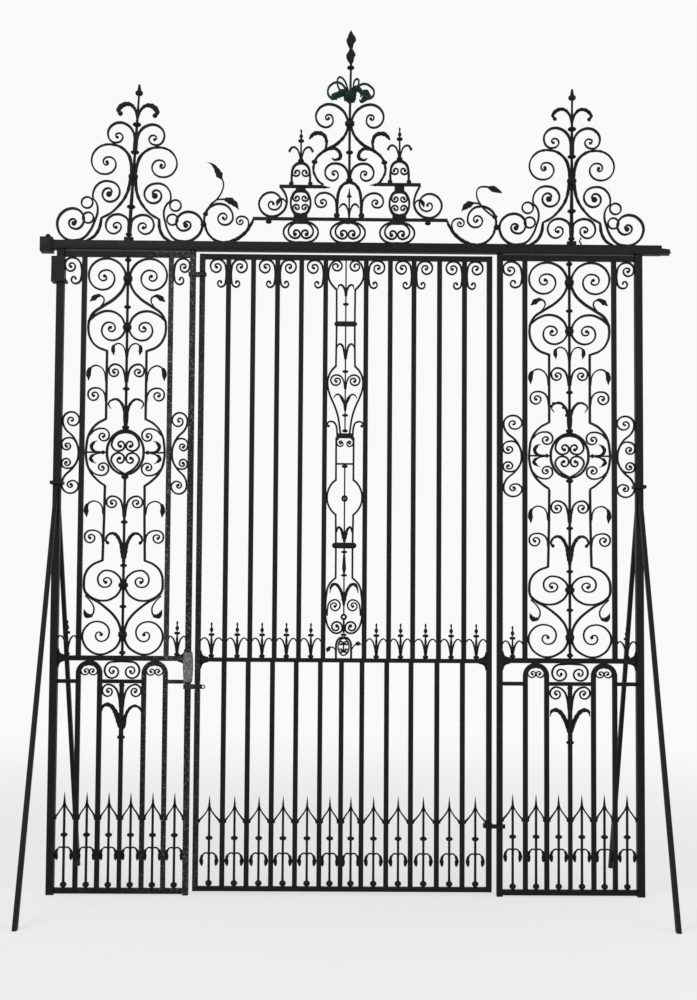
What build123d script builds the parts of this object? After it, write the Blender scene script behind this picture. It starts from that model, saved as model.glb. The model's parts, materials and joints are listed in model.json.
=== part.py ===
# Single-leaf wrought iron gate with two pilaster panels and a cresting over a lintel.
# Front view looks along +Y, +X is to the right, +Z is up, all sizes are in millimetres.
# The ironwork is drawn about the middle of the gate, then moved so the foot of the
# hanging post is the origin.
import math
import os

from build123d import *

# Overall frame
OUTER_L = -1398.0
HANG_X = -760.0
STRIKE_X = 728.0
OUTER_R = 1400.0
POST_OUTER = 36.0
POST_INNER = 28.0
POST_TOP = 3083.0
LINTEL_H = 43.0
LINTEL_T = 46.0
PANEL_T = 20.0
BAR_W = 23.0
SCROLL_T = 14.0
STROKE = 8.5

# Side panels
STEM_L = -1074.0
STEM_R = 1065.0
BAR_OFF_L = 209.0
BAR_OFF_R = 216.0
RAIL_TOP = (3049.0, 3075.0)
RAIL_LOCK = (1102.0, 1126.0)
RAIL_LOW = (995.0, 1013.0)
RAIL_FOOT = (6.0, 32.0)

# Leaf
AXIS_X = -714.0
STILE_W = 26.0
STRIKE_STILE_X = 677.0
LEAF_MID = -19.0
LEAF_TOP = (3043.0, 3067.0)
LEAF_LOCK = (1100.0, 1120.0)
LEAF_FOOT = (20.0, 42.0)
UPPER_BARS = (-587.0, -467.0, -350.0, -234.0, -117.0, 79.0, 196.0, 311.0, 435.0, 556.0)
LOWER_BARS = (-588.0, -473.0, -357.0, -244.0, -129.0, -28.0, 70.0, 188.0, 304.0, 428.0, 550.0)
JOURNAL_R = 11.0
COLLAR_GAP = 0.6

# Back-stays
STAY_TOP = 1942.0
STAY_REACH = 700.0
STAY_W = 20.0
STAY_DEEP = 22.0
COLLAR_WALL = 12.0

NODES = {}


def keep(name, shape):
    """Store one node in the shared frame."""
    NODES[name] = shape


def box(x0, x1, y0, y1, z0, z1):
    """Box between two corners."""
    b = Box(x1 - x0, y1 - y0, z1 - z0)
    return Pos((x0 + x1) / 2, (y0 + y1) / 2, (z0 + z1) / 2) * b


def between(a, b, c, d, f):
    """Point of a smooth curve from b towards c."""
    m = (c - a) * 0.5
    n = (d - b) * 0.5
    h1 = 2 * f ** 3 - 3 * f ** 2 + 1
    h2 = f ** 3 - 2 * f ** 2 + f
    h3 = -2 * f ** 3 + 3 * f ** 2
    h4 = f ** 3 - f ** 2
    return b * h1 + m * h2 + c * h3 + n * h4


def centreline(pts, per=5):
    """Points along a smooth curve; a curl's own points are kept as they are."""
    p = [Vector(q[0], q[1], 0) for q in pts]
    flag = [q[2] if len(q) > 2 else -i for i, q in enumerate(pts)]
    out = [p[0]]
    n = len(p)
    for i in range(n - 1):
        if flag[i] != flag[i + 1]:
            gap = (p[i + 1] - p[i]).length
            a = p[i - 1] if i > 0 else p[i] * 2 - p[i + 1]
            d = p[i + 2] if i + 2 < n else p[i + 1] * 2 - p[i]
            if i > 0:
                a = p[i] - (p[i] - a).normalized() * min(gap, (p[i] - a).length * 4)
            if i + 2 < n:
                d = p[i + 1] + (d - p[i + 1]).normalized() * min(gap, (d - p[i + 1]).length * 4)
            for k in range(1, per):
                out.append(between(a, p[i], p[i + 1], d, k / per))
        out.append(p[i + 1])
    return out


def thinned(line, tol):
    """Leave out points that lie within tol of the run between their neighbours."""
    if len(line) < 3:
        return list(line)
    a, b = line[0], line[-1]
    chord = b - a
    far, at = 0.0, 0
    for i in range(1, len(line) - 1):
        v = line[i] - a
        if chord.length > 1e-6:
            dist = abs(chord.cross(v).Z) / chord.length
        else:
            dist = v.length
        if dist > far:
            far, at = dist, i
    if far <= tol:
        return [a, b]
    return thinned(line[: at + 1], tol)[:-1] + thinned(line[at:], tol)


def stroke(pts, widths, snub=0.0, tol=1.4):
    """Outline of a flat bar bent along a curve; the widths are spread along it."""
    c = thinned(centreline(pts), tol)
    n = len(c)
    run = [0.0]
    for i in range(1, n):
        run.append(run[-1] + (c[i] - c[i - 1]).length)
    left = []
    right = []
    for i, q in enumerate(c):
        u = (c[min(i + 1, n - 1)] - c[max(i, 1) if i == n - 1 else i]) if i < n - 1 else c[-1] - c[-2]
        v = (q - c[i - 1]) if i > 0 else c[1] - c[0]
        t = (u.normalized() + v.normalized()).normalized()
        s = run[i] / run[-1] * (len(widths) - 1)
        k = min(int(s), len(widths) - 2) if len(widths) > 1 else 0
        w = widths[k] if len(widths) == 1 else widths[k] + (widths[k + 1] - widths[k]) * (s - k)
        w = w / max(t.dot(v.normalized()), 0.7)
        nrm = Vector(-t.Y, t.X, 0) * (w / 2)
        if snub and i > 0 and (q - c[-1]).length < snub * 0.95:
            continue
        left.append(q + nrm)
        right.append(q - nrm)
    tip = []
    if snub:
        d = (c[-1] - left[-1] * 0.5 - right[-1] * 0.5).normalized()
        for a in (130, 85, 30, -30, -85, -130):
            r = math.radians(a)
            x = d.X * math.cos(r) - d.Y * math.sin(r)
            y = d.X * math.sin(r) + d.Y * math.cos(r)
            tip.append(c[-1] + Vector(x, y, 0) * snub)
    return left + tip + list(reversed(right))


def outline_face(pts):
    """Flat face inside a closed run of points."""
    return Face(Wire(Polyline(*pts, close=True).edges()))


def curl(ex, ez, a0, sense, radii):
    """Points round an eye, one radius for each quarter turn from the angle a0."""
    pts = []
    tag = 1 + abs(ex) + abs(ez) + a0 / 1000
    for q in range(len(radii) - 1):
        for k in range(8):
            f = k / 8
            r = radii[q] * (1 - f) + radii[q + 1] * f
            a = math.radians(a0 + sense * 90 * (q + f))
            pts.append((ex + r * math.cos(a), ez + r * math.sin(a), tag))
    a = math.radians(a0 + sense * 90 * (len(radii) - 1))
    pts.append((ex + radii[-1] * math.cos(a), ez + radii[-1] * math.sin(a), tag))
    return pts


def ring_points(x, z, rx, rz, sides):
    """Corners of a regular many-sided oval."""
    return [Vector(x + rx * math.cos(2 * math.pi * (i + 0.5) / sides),
                   z + rz * math.sin(2 * math.pi * (i + 0.5) / sides), 0) for i in range(sides)]


def disc(x, z, r):
    """Round spot in the drawing plane."""
    return outline_face(ring_points(x, z, r, r, 10))


def ring(x, z, rx, rz, w):
    """Oval or round hoop of flat bar."""
    n = 12 if max(rx, rz) < 15 else 20 if max(rx, rz) < 40 else 32
    a = outline_face(ring_points(x, z, rx + w / 2, rz + w / 2, n))
    return a - outline_face(ring_points(x, z, rx - w / 2, rz - w / 2, n))


def rect(x0, x1, z0, z1):
    """Plain rectangle in the drawing plane."""
    return Pos((x0 + x1) / 2, (z0 + z1) / 2, 0) * Rectangle(x1 - x0, z1 - z0)


class Drawing:
    """Strokes of one ornament, placed with a centre line, a spread and a lean."""

    def __init__(self, xc=0.0, spread=1.0, lean=0.0, z_ref=0.0):
        self.xc = xc
        self.spread = spread
        self.lean = lean
        self.z_ref = z_ref
        self.faces = []

    def put(self, p, side=1):
        out = side * self.spread * p[0]
        up = p[1] - self.z_ref
        drop = self.lean * out * min(max(up / 400, 0), 1)
        return (self.xc + out + self.lean * up, p[1] - drop) + tuple(p[2:])

    def bar(self, pts, *widths, side=1, snub=0.0):
        moved = [self.put(p, side) for p in pts]
        w = widths if widths else (STROKE,)
        self.faces.append(outline_face(stroke(moved, w, snub)))
        return self

    def pair(self, pts, *widths, snub=0.0):
        for side in (-1, 1):
            self.bar(pts, *widths, side=side, snub=snub)
        return self

    def spot(self, x, z, r, side=1):
        q = self.put((x, z), side)
        self.faces.append(disc(q[0], q[1], r))
        return self

    def hoop(self, x, z, rx, rz, w, side=1):
        q = self.put((x, z), side)
        self.faces.append(ring(q[0], q[1], rx, rz, w))
        return self

    def patch(self, x0, x1, z0, z1):
        a = self.put((x0, z0))
        b = self.put((x1, z1))
        self.faces.append(rect(min(a[0], b[0]), max(a[0], b[0]), z0, z1))
        return self

    def shape(self, thick=SCROLL_T, cut=(), beads=()):
        flat = Sketch() + self.faces
        gone = [rect(*c) for c in cut] + [b[0] for b in beads]
        if gone:
            flat = flat - (Sketch() + gone)
        s = raise_up(flat, thick)
        solids = list(s.solids()) + [raise_up(b[0], b[1]) for b in beads]
        return Compound(children=[q for r in solids for q in r.solids()])


def raise_up(flat, thick):
    """Give a drawing its thickness and stand it upright."""
    s = extrude(flat, amount=thick / 2, both=True)
    return Rot(90, 0, 0) * s


def knob(x, z, r, h, deep=0.0):
    """Bead seen as a flattened eight-sided outline, with its depth."""
    k = h * 0.45
    pts = [(r - k * 1.5, h), (r, k), (r, -k), (r - k * 1.5, -h)]
    pts += [(-a, b) for a, b in reversed(pts)]
    return (outline_face([Vector(x + a, z + b, 0) for a, b in pts]), deep if deep else r * 1.7)


def block(x0, x1, z0, z1, deep):
    """Collar block: its outline and its depth."""
    return (rect(x0, x1, z0, z1), deep)


def profile(x, z, pairs, deep):
    """Symmetrical turned outline from radius and height pairs."""
    pts = list(pairs) + [(-r, h) for r, h in reversed(pairs)]
    return (outline_face([Vector(x + r, z + h, 0) for r, h in pts]), deep)


# Posts
def build_posts():
    h = POST_INNER / 2
    post = box(HANG_X - h, HANG_X + h, -h, h, 0, POST_TOP)
    post = post + box(HANG_X - 18, HANG_X + 18, -18, 18, 1000, 1146)
    keep("hanging_post", post)
    keep("striking_post", box(STRIKE_X - h, STRIKE_X + h, -h, h, 0, POST_TOP))
    o = POST_OUTER / 2
    left = box(OUTER_L - o, OUTER_L + o, -o, o, 0, POST_TOP)
    left = left + box(OUTER_L - 42, OUTER_L + 20, -26, 26, 2935, 3046)
    left = left + box(OUTER_L - 42, OUTER_L + 30, -28, 28, 2921, 2935)
    keep("left_outer_post", left)
    keep("right_outer_post", box(OUTER_R - o, OUTER_R + o, -o, o, 0, POST_TOP))


def build_lintel():
    t = LINTEL_T / 2
    z0 = POST_TOP
    z1 = POST_TOP + LINTEL_H
    beam = box(-1470, 1560, -t, t, z0, z1)
    beam = beam + box(-1497, -1437, -t - 6, t + 6, z0 - 14, z1 + 14)
    stud = knob(-1463, z1 + 23, 12, 9)
    beam = beam + raise_up(stud[0], stud[1])
    keep("lintel_beam", beam)


def panel_layout(side):
    """Post faces, bar lines and strip limits of one side panel."""
    if side < 0:
        return dict(stem=STEM_L, off=BAR_OFF_L, near=HANG_X, far=OUTER_L)
    return dict(stem=STEM_R, off=BAR_OFF_R, near=STRIKE_X, far=OUTER_R)


def build_panel_lattice(name, side):
    p = panel_layout(side)
    near = p["near"] + side * POST_INNER / 2
    far = p["far"] - side * POST_OUTER / 2
    x0, x1 = min(near, far), max(near, far)
    t = PANEL_T / 2
    w = BAR_W / 2
    rails = [box(x0, x1, -t, t, *RAIL_TOP), box(x0, x1, -t, t, *RAIL_LOCK)]
    rails.append(box(x0, x1, -t, t, *RAIL_FOOT))
    bars = []
    for s in (-1, 1):
        b = p["stem"] + s * p["off"]
        bars.append(box(b - w, b + w, -w, w, RAIL_LOCK[0], RAIL_TOP[1]))
    arch_c = p["off"] - 53
    half = 51.0
    low = Drawing()
    for s in (-1, 1):
        c = p["stem"] + s * (arch_c + 0)
        zc = RAIL_LOCK[0] - half - w + 2
        low.faces.append(Pos(c, zc, 0) * (Circle(half + w) - Circle(half - w)) - rect(c - 90, c + 90, zc - 90, zc))
        for q in (-1, 1):
            b = c + q * half
            low.faces.append(rect(b - w, b + w, RAIL_FOOT[0], zc))
    low.faces.append(rect(p["stem"] - 10, p["stem"] + 10, RAIL_FOOT[0], RAIL_LOW[1]))
    inner = p["stem"] - arch_c + half
    outer = p["stem"] + arch_c - half
    low.faces.append(rect(inner, outer, *RAIL_LOW))
    low.faces.append(rect(x0, p["stem"] - arch_c - half, *RAIL_LOW))
    low.faces.append(rect(p["stem"] + arch_c + half, x1, *RAIL_LOW))
    flat = low.shape(thick=PANEL_T)
    whole = rails[0] + rails[1:] + bars + [flat]
    if side < 0:
        whole = whole - box(HANG_X - 18, HANG_X + 18, -18, 18, 1000, 1146)
    keep(name, whole)


def side_scrolls(name, side):
    """Tall scrollwork between the two inner bars of a side panel."""
    p = panel_layout(side)
    k = (p["off"] - BAR_W / 2) / 197.5
    d = Drawing(p["stem"], k)
    z_top, z_low = RAIL_TOP[0], RAIL_LOCK[1]
    d.patch(-6, 6, z_low - 1, 1994)
    d.patch(-6, 6, 2205, z_top + 1)
    top = [(187, 2728), (166, 2772), (118, 2808), (60, 2848), (20, 2898)]
    top += curl(113, 2951, 180, -1, [104, 92, 74, 59, 46, 37, 22, 12])
    d.pair(top, 10, 11, 9, 8, 7, 6, snub=7)
    second = [(184, 2738), (144, 2770), (90, 2785), (35, 2762), (12, 2722)]
    second += curl(81, 2700, 180, 1, [72, 57, 40, 29, 23, 14, 9])
    d.pair(second, 9, 9, 8, 7, 6, snub=7)
    d.pair([(184, 2740), (187, 2697), (177, 2653), (148, 2614), (95, 2590)], 9)
    d.pair([(95, 2594), (95, 2430), (95, 2258)], 9.5)
    d.pair([(95, 2261), (138, 2236), (174, 2188), (187, 2127), (187, 2070), (168, 2008),
            (128, 1962), (95, 1938)], 9)
    d.pair([(95, 1941), (97, 1760), (101, 1577)], 9.5)
    low = [(101, 1580), (150, 1557), (180, 1520), (188, 1473), (182, 1430), (155, 1401),
           (118, 1380), (78, 1350), (40, 1313), (16, 1272), (9, 1226), (20, 1180), (58, 1145)]
    low += curl(107, 1226, 270, 1, [95, 84, 60, 42, 32, 20, 10])
    d.pair(low, 9, 9.5, 10, 9, 8, 7, 6, snub=7)
    tail = [(180, 1428), (150, 1402), (95, 1387), (45, 1402), (14, 1438), (9, 1468), (22, 1505)]
    tail += curl(84, 1480, 90, -1, [52, 37, 28, 27, 16, 9])
    d.pair(tail, 8, 9, 8, 7, 6, snub=7)
    # bud tendrils off the outer contour
    d.pair([(188, 2752), (158, 2790), (125, 2832), (132, 2858), (158, 2861), (188, 2838)],
           5, 6, 7, 15, 9, 3)
    d.pair([(182, 1412), (150, 1377), (138, 1345), (150, 1317), (174, 1318), (186, 1345)],
           5, 6, 7, 8, 13, 4)
    # leaves off the stem
    d.pair([(4, 2560), (10, 2598), (26, 2622), (48, 2626), (66, 2608), (62, 2568)],
           5, 6, 7, 6, 12, 2)
    d.pair([(4, 2225), (5, 2290), (18, 2330), (40, 2354), (64, 2354), (84, 2335), (72, 2310)],
           9, 12, 13, 12, 8, 6, 3)
    d.pair([(4, 1570), (10, 1622), (28, 1664), (50, 1694), (72, 1699), (92, 1680), (82, 1648)],
           9, 12, 14, 13, 9, 7, 3)
    # inner volutes off the stem
    up = [(4, 2440), (10, 2480), (24, 2512)] + curl(59, 2489, 90, -1, [37, 25, 22, 20, 12, 7])
    d.pair(up, 8, 8, 7, 6, snub=6)
    dn = [(4, 1790), (10, 1840), (24, 1874)] + curl(60, 1856, 90, -1, [32, 26, 22, 21, 12, 7])
    d.pair(dn, 8, 8, 7, 6, snub=6)
    # leaf sprays and volutes off the side rails
    d.pair([(99, 2440), (108, 2492), (130, 2515), (156, 2518), (180, 2494), (182, 2445)],
           6, 6, 6, 7, 15, 2)
    d.pair([(102, 1800), (112, 1846), (135, 1862), (158, 1862), (182, 1838), (180, 1786)],
           6, 6, 6, 7, 15, 2)
    ov = [(98, 2345), (104, 2382), (122, 2404)] + curl(156, 2376, 90, -1, [34, 27, 26, 22, 12, 7])
    d.pair(ov, 7, 7, 6, snub=6)
    ow = [(101, 1660), (108, 1700), (126, 1718)] + curl(162, 1690, 90, -1, [33, 26, 26, 22, 12, 7])
    d.pair(ow, 7, 7, 6, snub=6)
    # roundel with two kidney scrolls
    d.hoop(0, 2099.5, 88 * k, 106, 10)
    for s in (-1, 1):
        heart = [(0, 2196), (36, 2187), (58, 2164), (66, 2138)]
        heart += curl(25, 2136, 0, -1, [40, 24, 16, 15, 8])
        d.bar(heart, 7, 7, 6, side=s, snub=6)
        heart = [(3, 1997), (40, 2020), (62, 2048)]
        heart += curl(29, 2066, 0, 1, [38, 29, 18, 14, 8])
        d.bar(heart, 7, 7, 6, side=s, snub=6)
    # lens scrolls beside the roundel
    for s in (-1, 1):
        ln = [(172, 2182), (148, 2206)] + curl(107, 2178, 90, 1, [36, 28, 23, 19, 12, 7])
        d.bar(ln, 7, 7, 6, side=s, snub=6)
        ln = [(170, 2018), (148, 1997)] + curl(108, 2025, 270, -1, [37, 28, 22, 19, 12, 7])
        d.bar(ln, 7, 7, 6, side=s, snub=6)
        d.bar([(92, 2099), (186, 2099)], 7, side=s)
        d.bar([(112, 2101), (152, 2108), (163, 2128), (150, 2148), (133, 2155)], 5, 6, 9, 5, 2, side=s)
        d.bar([(112, 2097), (154, 2085), (166, 2068), (152, 2052), (138, 2044)], 5, 6, 6, 9, 2, side=s)
        d.spot(107, 2099, 10, side=s)
    b0 = p["stem"] - p["off"] + BAR_W / 2
    b1 = p["stem"] + p["off"] - BAR_W / 2
    cuts = [(b0 - 60, b0, 1000, 3200), (b1, b1 + 60, 1000, 3200)]
    cuts += [(b0 - 60, b1 + 60, z_top, z_top + 60), (b0 - 60, b1 + 60, z_low - 60, z_low)]
    x = p["stem"]
    beads = [knob(x, z, 17, 8) for z in (2805, 2407, 1764, 1556, 1360)]
    beads += [knob(x, z, 18, 10) for z in (2220, 1981)]
    beads += [knob(x, z, 16, 9) for z in (3035, 1140)]
    for z, hx, hz in ((2944, 22, 20), (2706, 20, 16), (1462, 24, 14), (1226, 22, 22)):
        beads.append(block(x - hx, x + hx, z - hz, z + hz, 22))
    keep(name, d.shape(cut=cuts, beads=beads))


def strip_scrolls(name, side):
    """Narrow strips: a C scroll at the top and a scroll group at mid height."""
    p = panel_layout(side)
    faces = []
    cuts = []
    for s in (-1, 1):
        bar_x = p["stem"] + s * p["off"]
        if s == side:
            post = p["far"] - side * POST_OUTER / 2
        else:
            post = p["near"] + side * POST_INNER / 2
        width = abs(post - bar_x)
        k = (width - 12) / 84.0
        base = bar_x + s * 12 * (1 - k)
        d = Drawing(base, k)
        small = curl(48, 2942, 180, 1, [31, 24, 14, 9])
        big = curl(66, 3004, 180, -1, [49, 40, 27, 26, 20, 13, 8])
        d.bar(list(reversed(small)) + big, 6, 8, 8, 7, 6, side=s, snub=6)
        d.spot(small[-1][0], small[-1][1], 6, side=s)
        t = curl(50, 2254, 0, 1, [42, 39, 36, 26, 18, 12, 7])
        b = curl(49, 1940, 0, -1, [43, 39, 35, 20, 16, 10, 7])
        mid = [(80, 2212), (42, 2174), (21, 2132), (15.5, 2096), (21, 2058), (44, 2020), (82, 1980)]
        d.bar(list(reversed(t)) + mid + b, 6, 7, 8, 8, 8, 7, 6, side=s, snub=6)
        d.spot(t[-1][0], t[-1][1], 6, side=s)
        br = [(28, 2148), (42, 2164)] + curl(72, 2130, 90, -1, [37, 22, 20, 18, 11, 7])
        d.bar(br, 7, 7, 6, side=s, snub=6)
        br = [(28, 2044), (42, 2027)] + curl(72, 2046, 270, 1, [25, 22, 22, 18, 11, 7])
        d.bar(br, 7, 7, 6, side=s, snub=6)
        faces += d.faces
        cuts.append((min(post, post + s * 60), max(post, post + s * 60), 1800, 3100))
        face = bar_x + s * BAR_W / 2
        cuts.append((min(face, face - s * 40), max(face, face - s * 40), 1800, 3100))
        if s == side:
            reach = post - side * COLLAR_WALL
            cuts.append((min(post, reach), max(post, reach), STAY_TOP + 1, STAY_TOP + 17))
        if s == side and side < 0:
            cuts.append((post, OUTER_L + 20, 2935, 3046))
            cuts.append((post, OUTER_L + 30, 2921, 2935))
    d = Drawing()
    d.faces = faces
    cuts.append((p["stem"] - 400, p["stem"] + 400, RAIL_TOP[0], RAIL_TOP[0] + 40))
    keep(name, d.shape(cut=cuts))


def finial_strokes(d, xc, zb, reach, left=1.0, right=1.0):
    """Small spear with two curled arms standing on a rail."""
    e = Drawing(xc)
    e.bar([(0, zb - 1), (0, zb + 50), (0, zb + 112)], 12, 9, 7)
    for s, f in ((-1, left), (1, right)):
        top = zb + 93 * f
        pts = [(2, zb + 20), (9, zb + 58), (24, top - 4), (36, top), (reach, top - 14)]
        e.bar(pts, 6, 6, 7, 7, 6, side=s)
    d.faces += e.faces
    return [knob(xc, zb + 109, 14, 6), knob(xc, zb + 8, 14, 8), finial_tip(xc, zb + 112)]


def finial_tip(x, z):
    """Two beads and a point."""
    prof = [(4, 6), (4, 10), (9, 17), (9, 24), (4, 31), (3, 38), (5, 44), (5, 49), (1.5, 56)]
    return profile(x, z, prof, 10)


def build_strip_finials(name, side):
    p = panel_layout(side)
    d = Drawing()
    tips = []
    cuts = [(-2000, 2000, RAIL_LOCK[1] - 20, RAIL_LOCK[1])]
    for s in (-1, 1):
        bar_x = p["stem"] + s * (p["off"] + BAR_W / 2)
        if s == side:
            post = p["far"] - side * POST_OUTER / 2
        else:
            post = p["near"] + side * POST_INNER / 2
        xc = (bar_x + post) / 2
        tips += finial_strokes(d, xc, RAIL_LOCK[1], abs(post - bar_x) / 2 + 1)
        cuts.append((min(bar_x, bar_x - s * 30), max(bar_x, bar_x - s * 30), 1100, 1300))
        cuts.append((min(post, post + s * 30), max(post, post + s * 30), 1100, 1300))
    keep(name, d.shape(thick=10, cut=cuts, beads=tips))


def lower_scrolls(name, side):
    """Scrolls hung between the lock rail and the lower rail, and under it."""
    p = panel_layout(side)
    k = (p["off"] - BAR_W / 2) / 197.5
    d = Drawing(p["stem"], k)
    arch_c = p["off"] - 53
    for s in (-1, 1):
        e = Drawing(p["stem"] + s * arch_c)
        for q in (-1, 1):
            e.bar([(0, 1086), (20, 1080)] + curl(22, 1046, 60, -1, [30, 20, 14, 13, 7]),
                  7, 6, 5, side=q, snub=5)
        d.faces += e.faces
    for s in (-1, 1):
        pts = [(0, 1099), (32, 1097)] + curl(44, 1050, 70, -1, [46, 36, 29, 26, 22, 13, 7])
        d.bar(pts, 8, 8, 7, 6, side=s, snub=6)
        pts = [(7, 880), (14, 935), (30, 972)] + curl(64, 958, 90, -1, [31, 28, 25, 18, 12, 7])
        d.bar(pts, 8, 8, 7, 6, side=s, snub=6)
        leaf = [(6, 760), (12, 812), (24, 856), (46, 886), (66, 890), (84, 870)]
        d.bar(leaf, 8, 14, 14, 12, 8, 3, side=s)
    cuts = [(p["stem"] - 10, p["stem"] + 10, 600, RAIL_LOW[1])]
    half = 51 + BAR_W / 2
    for s in (-1, 1):
        c = p["stem"] + s * arch_c
        for q in (-1, 1):
            b = c + q * 51
            cuts.append((b - BAR_W / 2, b + BAR_W / 2, 600, 1040))
    cuts.append((p["stem"] - 400, p["stem"] + 400, RAIL_LOCK[0], RAIL_LOCK[0] + 30))
    cuts.append((p["stem"] - arch_c + half, p["stem"] + arch_c - half, *RAIL_LOW))
    flat = Sketch() + d.faces
    for c in cuts:
        flat = flat - rect(*c)
    for s in (-1, 1):
        c = p["stem"] + s * arch_c
        zc = RAIL_LOCK[0] - half + 2
        flat = flat - Pos(c, zc, 0) * (Circle(half) - Circle(51 - BAR_W / 2))
    keep(name, raise_up(flat, SCROLL_T))


def dog_strokes(d, xc, half, base, cuts):
    """Low spear between two bars, with wings, a garland and a knob."""
    e = Drawing(xc)
    lift = 0 if base == LEAF_FOOT[1] else 12
    top = 459 + lift
    e.bar([(0, base - 1), (0, base + 120), (0, top - 40)], 10, 9, 9)
    e.bar([(0, top - 52), (0, top - 38), (0, top)], 8, 17, 2)
    for s in (-1, 1):
        wing = [(2, top - 40), (12, top - 62), (30, top - 88), (half + 1, top - 112)]
        e.bar(wing, 6, 6, 7, 9, side=s)
        arm = [(0, 192 + 2 * lift), (14, 198 + 2 * lift), (28, 190 + 2 * lift)]
        arm += [(36, 170 + 2 * lift), (33, 136 + 2 * lift)]
        e.bar(arm, 5, 6, 6, 17, 2, side=s)
    d.faces += e.faces
    cuts.append((xc - half - 11, xc - half, 0, 600))
    cuts.append((xc + half, xc + half + 11, 0, 600))
    return [knob(xc, 268 + lift, 17, 9), knob(xc, base + 15, 16, 12)]


def build_dog_bars(name, lines, widths, base):
    d = Drawing()
    beads = []
    cuts = [(-2000, 2000, base - 20, base)]
    for i in range(len(lines) - 1):
        a = lines[i] + widths[i] / 2
        b = lines[i + 1] - widths[i + 1] / 2
        beads += dog_strokes(d, (a + b) / 2, (b - a) / 2, base, cuts)
    keep(name, d.shape(thick=10, cut=cuts, beads=beads))


def panel_dog_bars(name, side):
    p = panel_layout(side)
    arch_c = p["off"] - 53
    lines = [p["stem"] - arch_c - 51, p["stem"] - arch_c + 51, p["stem"]]
    lines += [p["stem"] + arch_c - 51, p["stem"] + arch_c + 51]
    widths = [BAR_W, BAR_W, 20.0, BAR_W, BAR_W]
    if side < 0:
        lines = [p["far"]] + lines + [p["near"]]
        widths = [POST_OUTER] + widths + [POST_INNER]
    else:
        lines = [p["near"]] + lines + [p["far"]]
        widths = [POST_INNER] + widths + [POST_OUTER]
    build_dog_bars(name, lines, widths, RAIL_FOOT[1])


# Leaf
def build_leaf():
    h = STILE_W / 2
    z0, z1 = LEAF_FOOT[0], LEAF_TOP[1]
    stile = box(AXIS_X - h, AXIS_X + h, -h, h, z0, z1)
    for za, zb in ((2954, 2980), (966, 996)):
        stile = stile - box(AXIS_X - 30, AXIS_X + 30, -30, 30, za, zb)
        stile = stile + Pos(AXIS_X, 0, (za + zb) / 2) * Cylinder(JOURNAL_R, zb - za)
    keep("hanging_stile", stile)
    keep("striking_stile", box(STRIKE_STILE_X - h, STRIKE_STILE_X + h, -h, h, z0, z1))
    x0, x1 = AXIS_X + h, STRIKE_STILE_X - h
    t = PANEL_T / 2
    w = BAR_W / 2
    rails = [box(x0, x1, -t, t, *LEAF_TOP), box(x0, x1, -t, t, *LEAF_LOCK)]
    rails.append(box(x0, x1, -t, t, *LEAF_FOOT))
    for x in UPPER_BARS:
        rails.append(box(x - w, x + w, -t - 1, t + 1, LEAF_LOCK[0], LEAF_TOP[0] + 5))
    for x in LOWER_BARS:
        rails.append(box(x - w, x + w, -t - 1, t + 1, LEAF_FOOT[1] - 5, LEAF_LOCK[1]))
    keep("leaf_lattice", rails[0] + rails[1:])


def leaf_top_scrolls():
    lines = [AXIS_X] + list(UPPER_BARS) + [STRIKE_STILE_X]
    half = [STILE_W / 2] + [BAR_W / 2] * 10 + [STILE_W / 2]
    d = Drawing()
    cuts = [(-2000, 2000, LEAF_TOP[0], LEAF_TOP[0] + 40)]
    for i in range(len(lines) - 1):
        if i == 5:
            continue
        right_spine = (i % 2 == 0) if i < 5 else (i % 2 == 1)
        a = lines[i] + half[i]
        b = lines[i + 1] - half[i + 1]
        s = -1 if right_spine else 1
        base = b if right_spine else a
        e = Drawing(base)
        small = curl(28, 2930, 180, 1, [24, 22, 12, 7])
        big = curl(47, 3008, 180, -1, [43, 34, 30, 29, 20, 12, 8])
        e.bar(list(reversed(small)) + big, 6, 8, 8, 7, 6, side=s, snub=6)
        e.spot(small[-1][0], small[-1][1], 6, side=s)
        d.faces += e.faces
        cuts.append((a - 11, a, 2800, 3100))
        cuts.append((b, b + 11, 2800, 3100))
    keep("leaf_top_scrolls", d.shape(cut=cuts))


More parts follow.
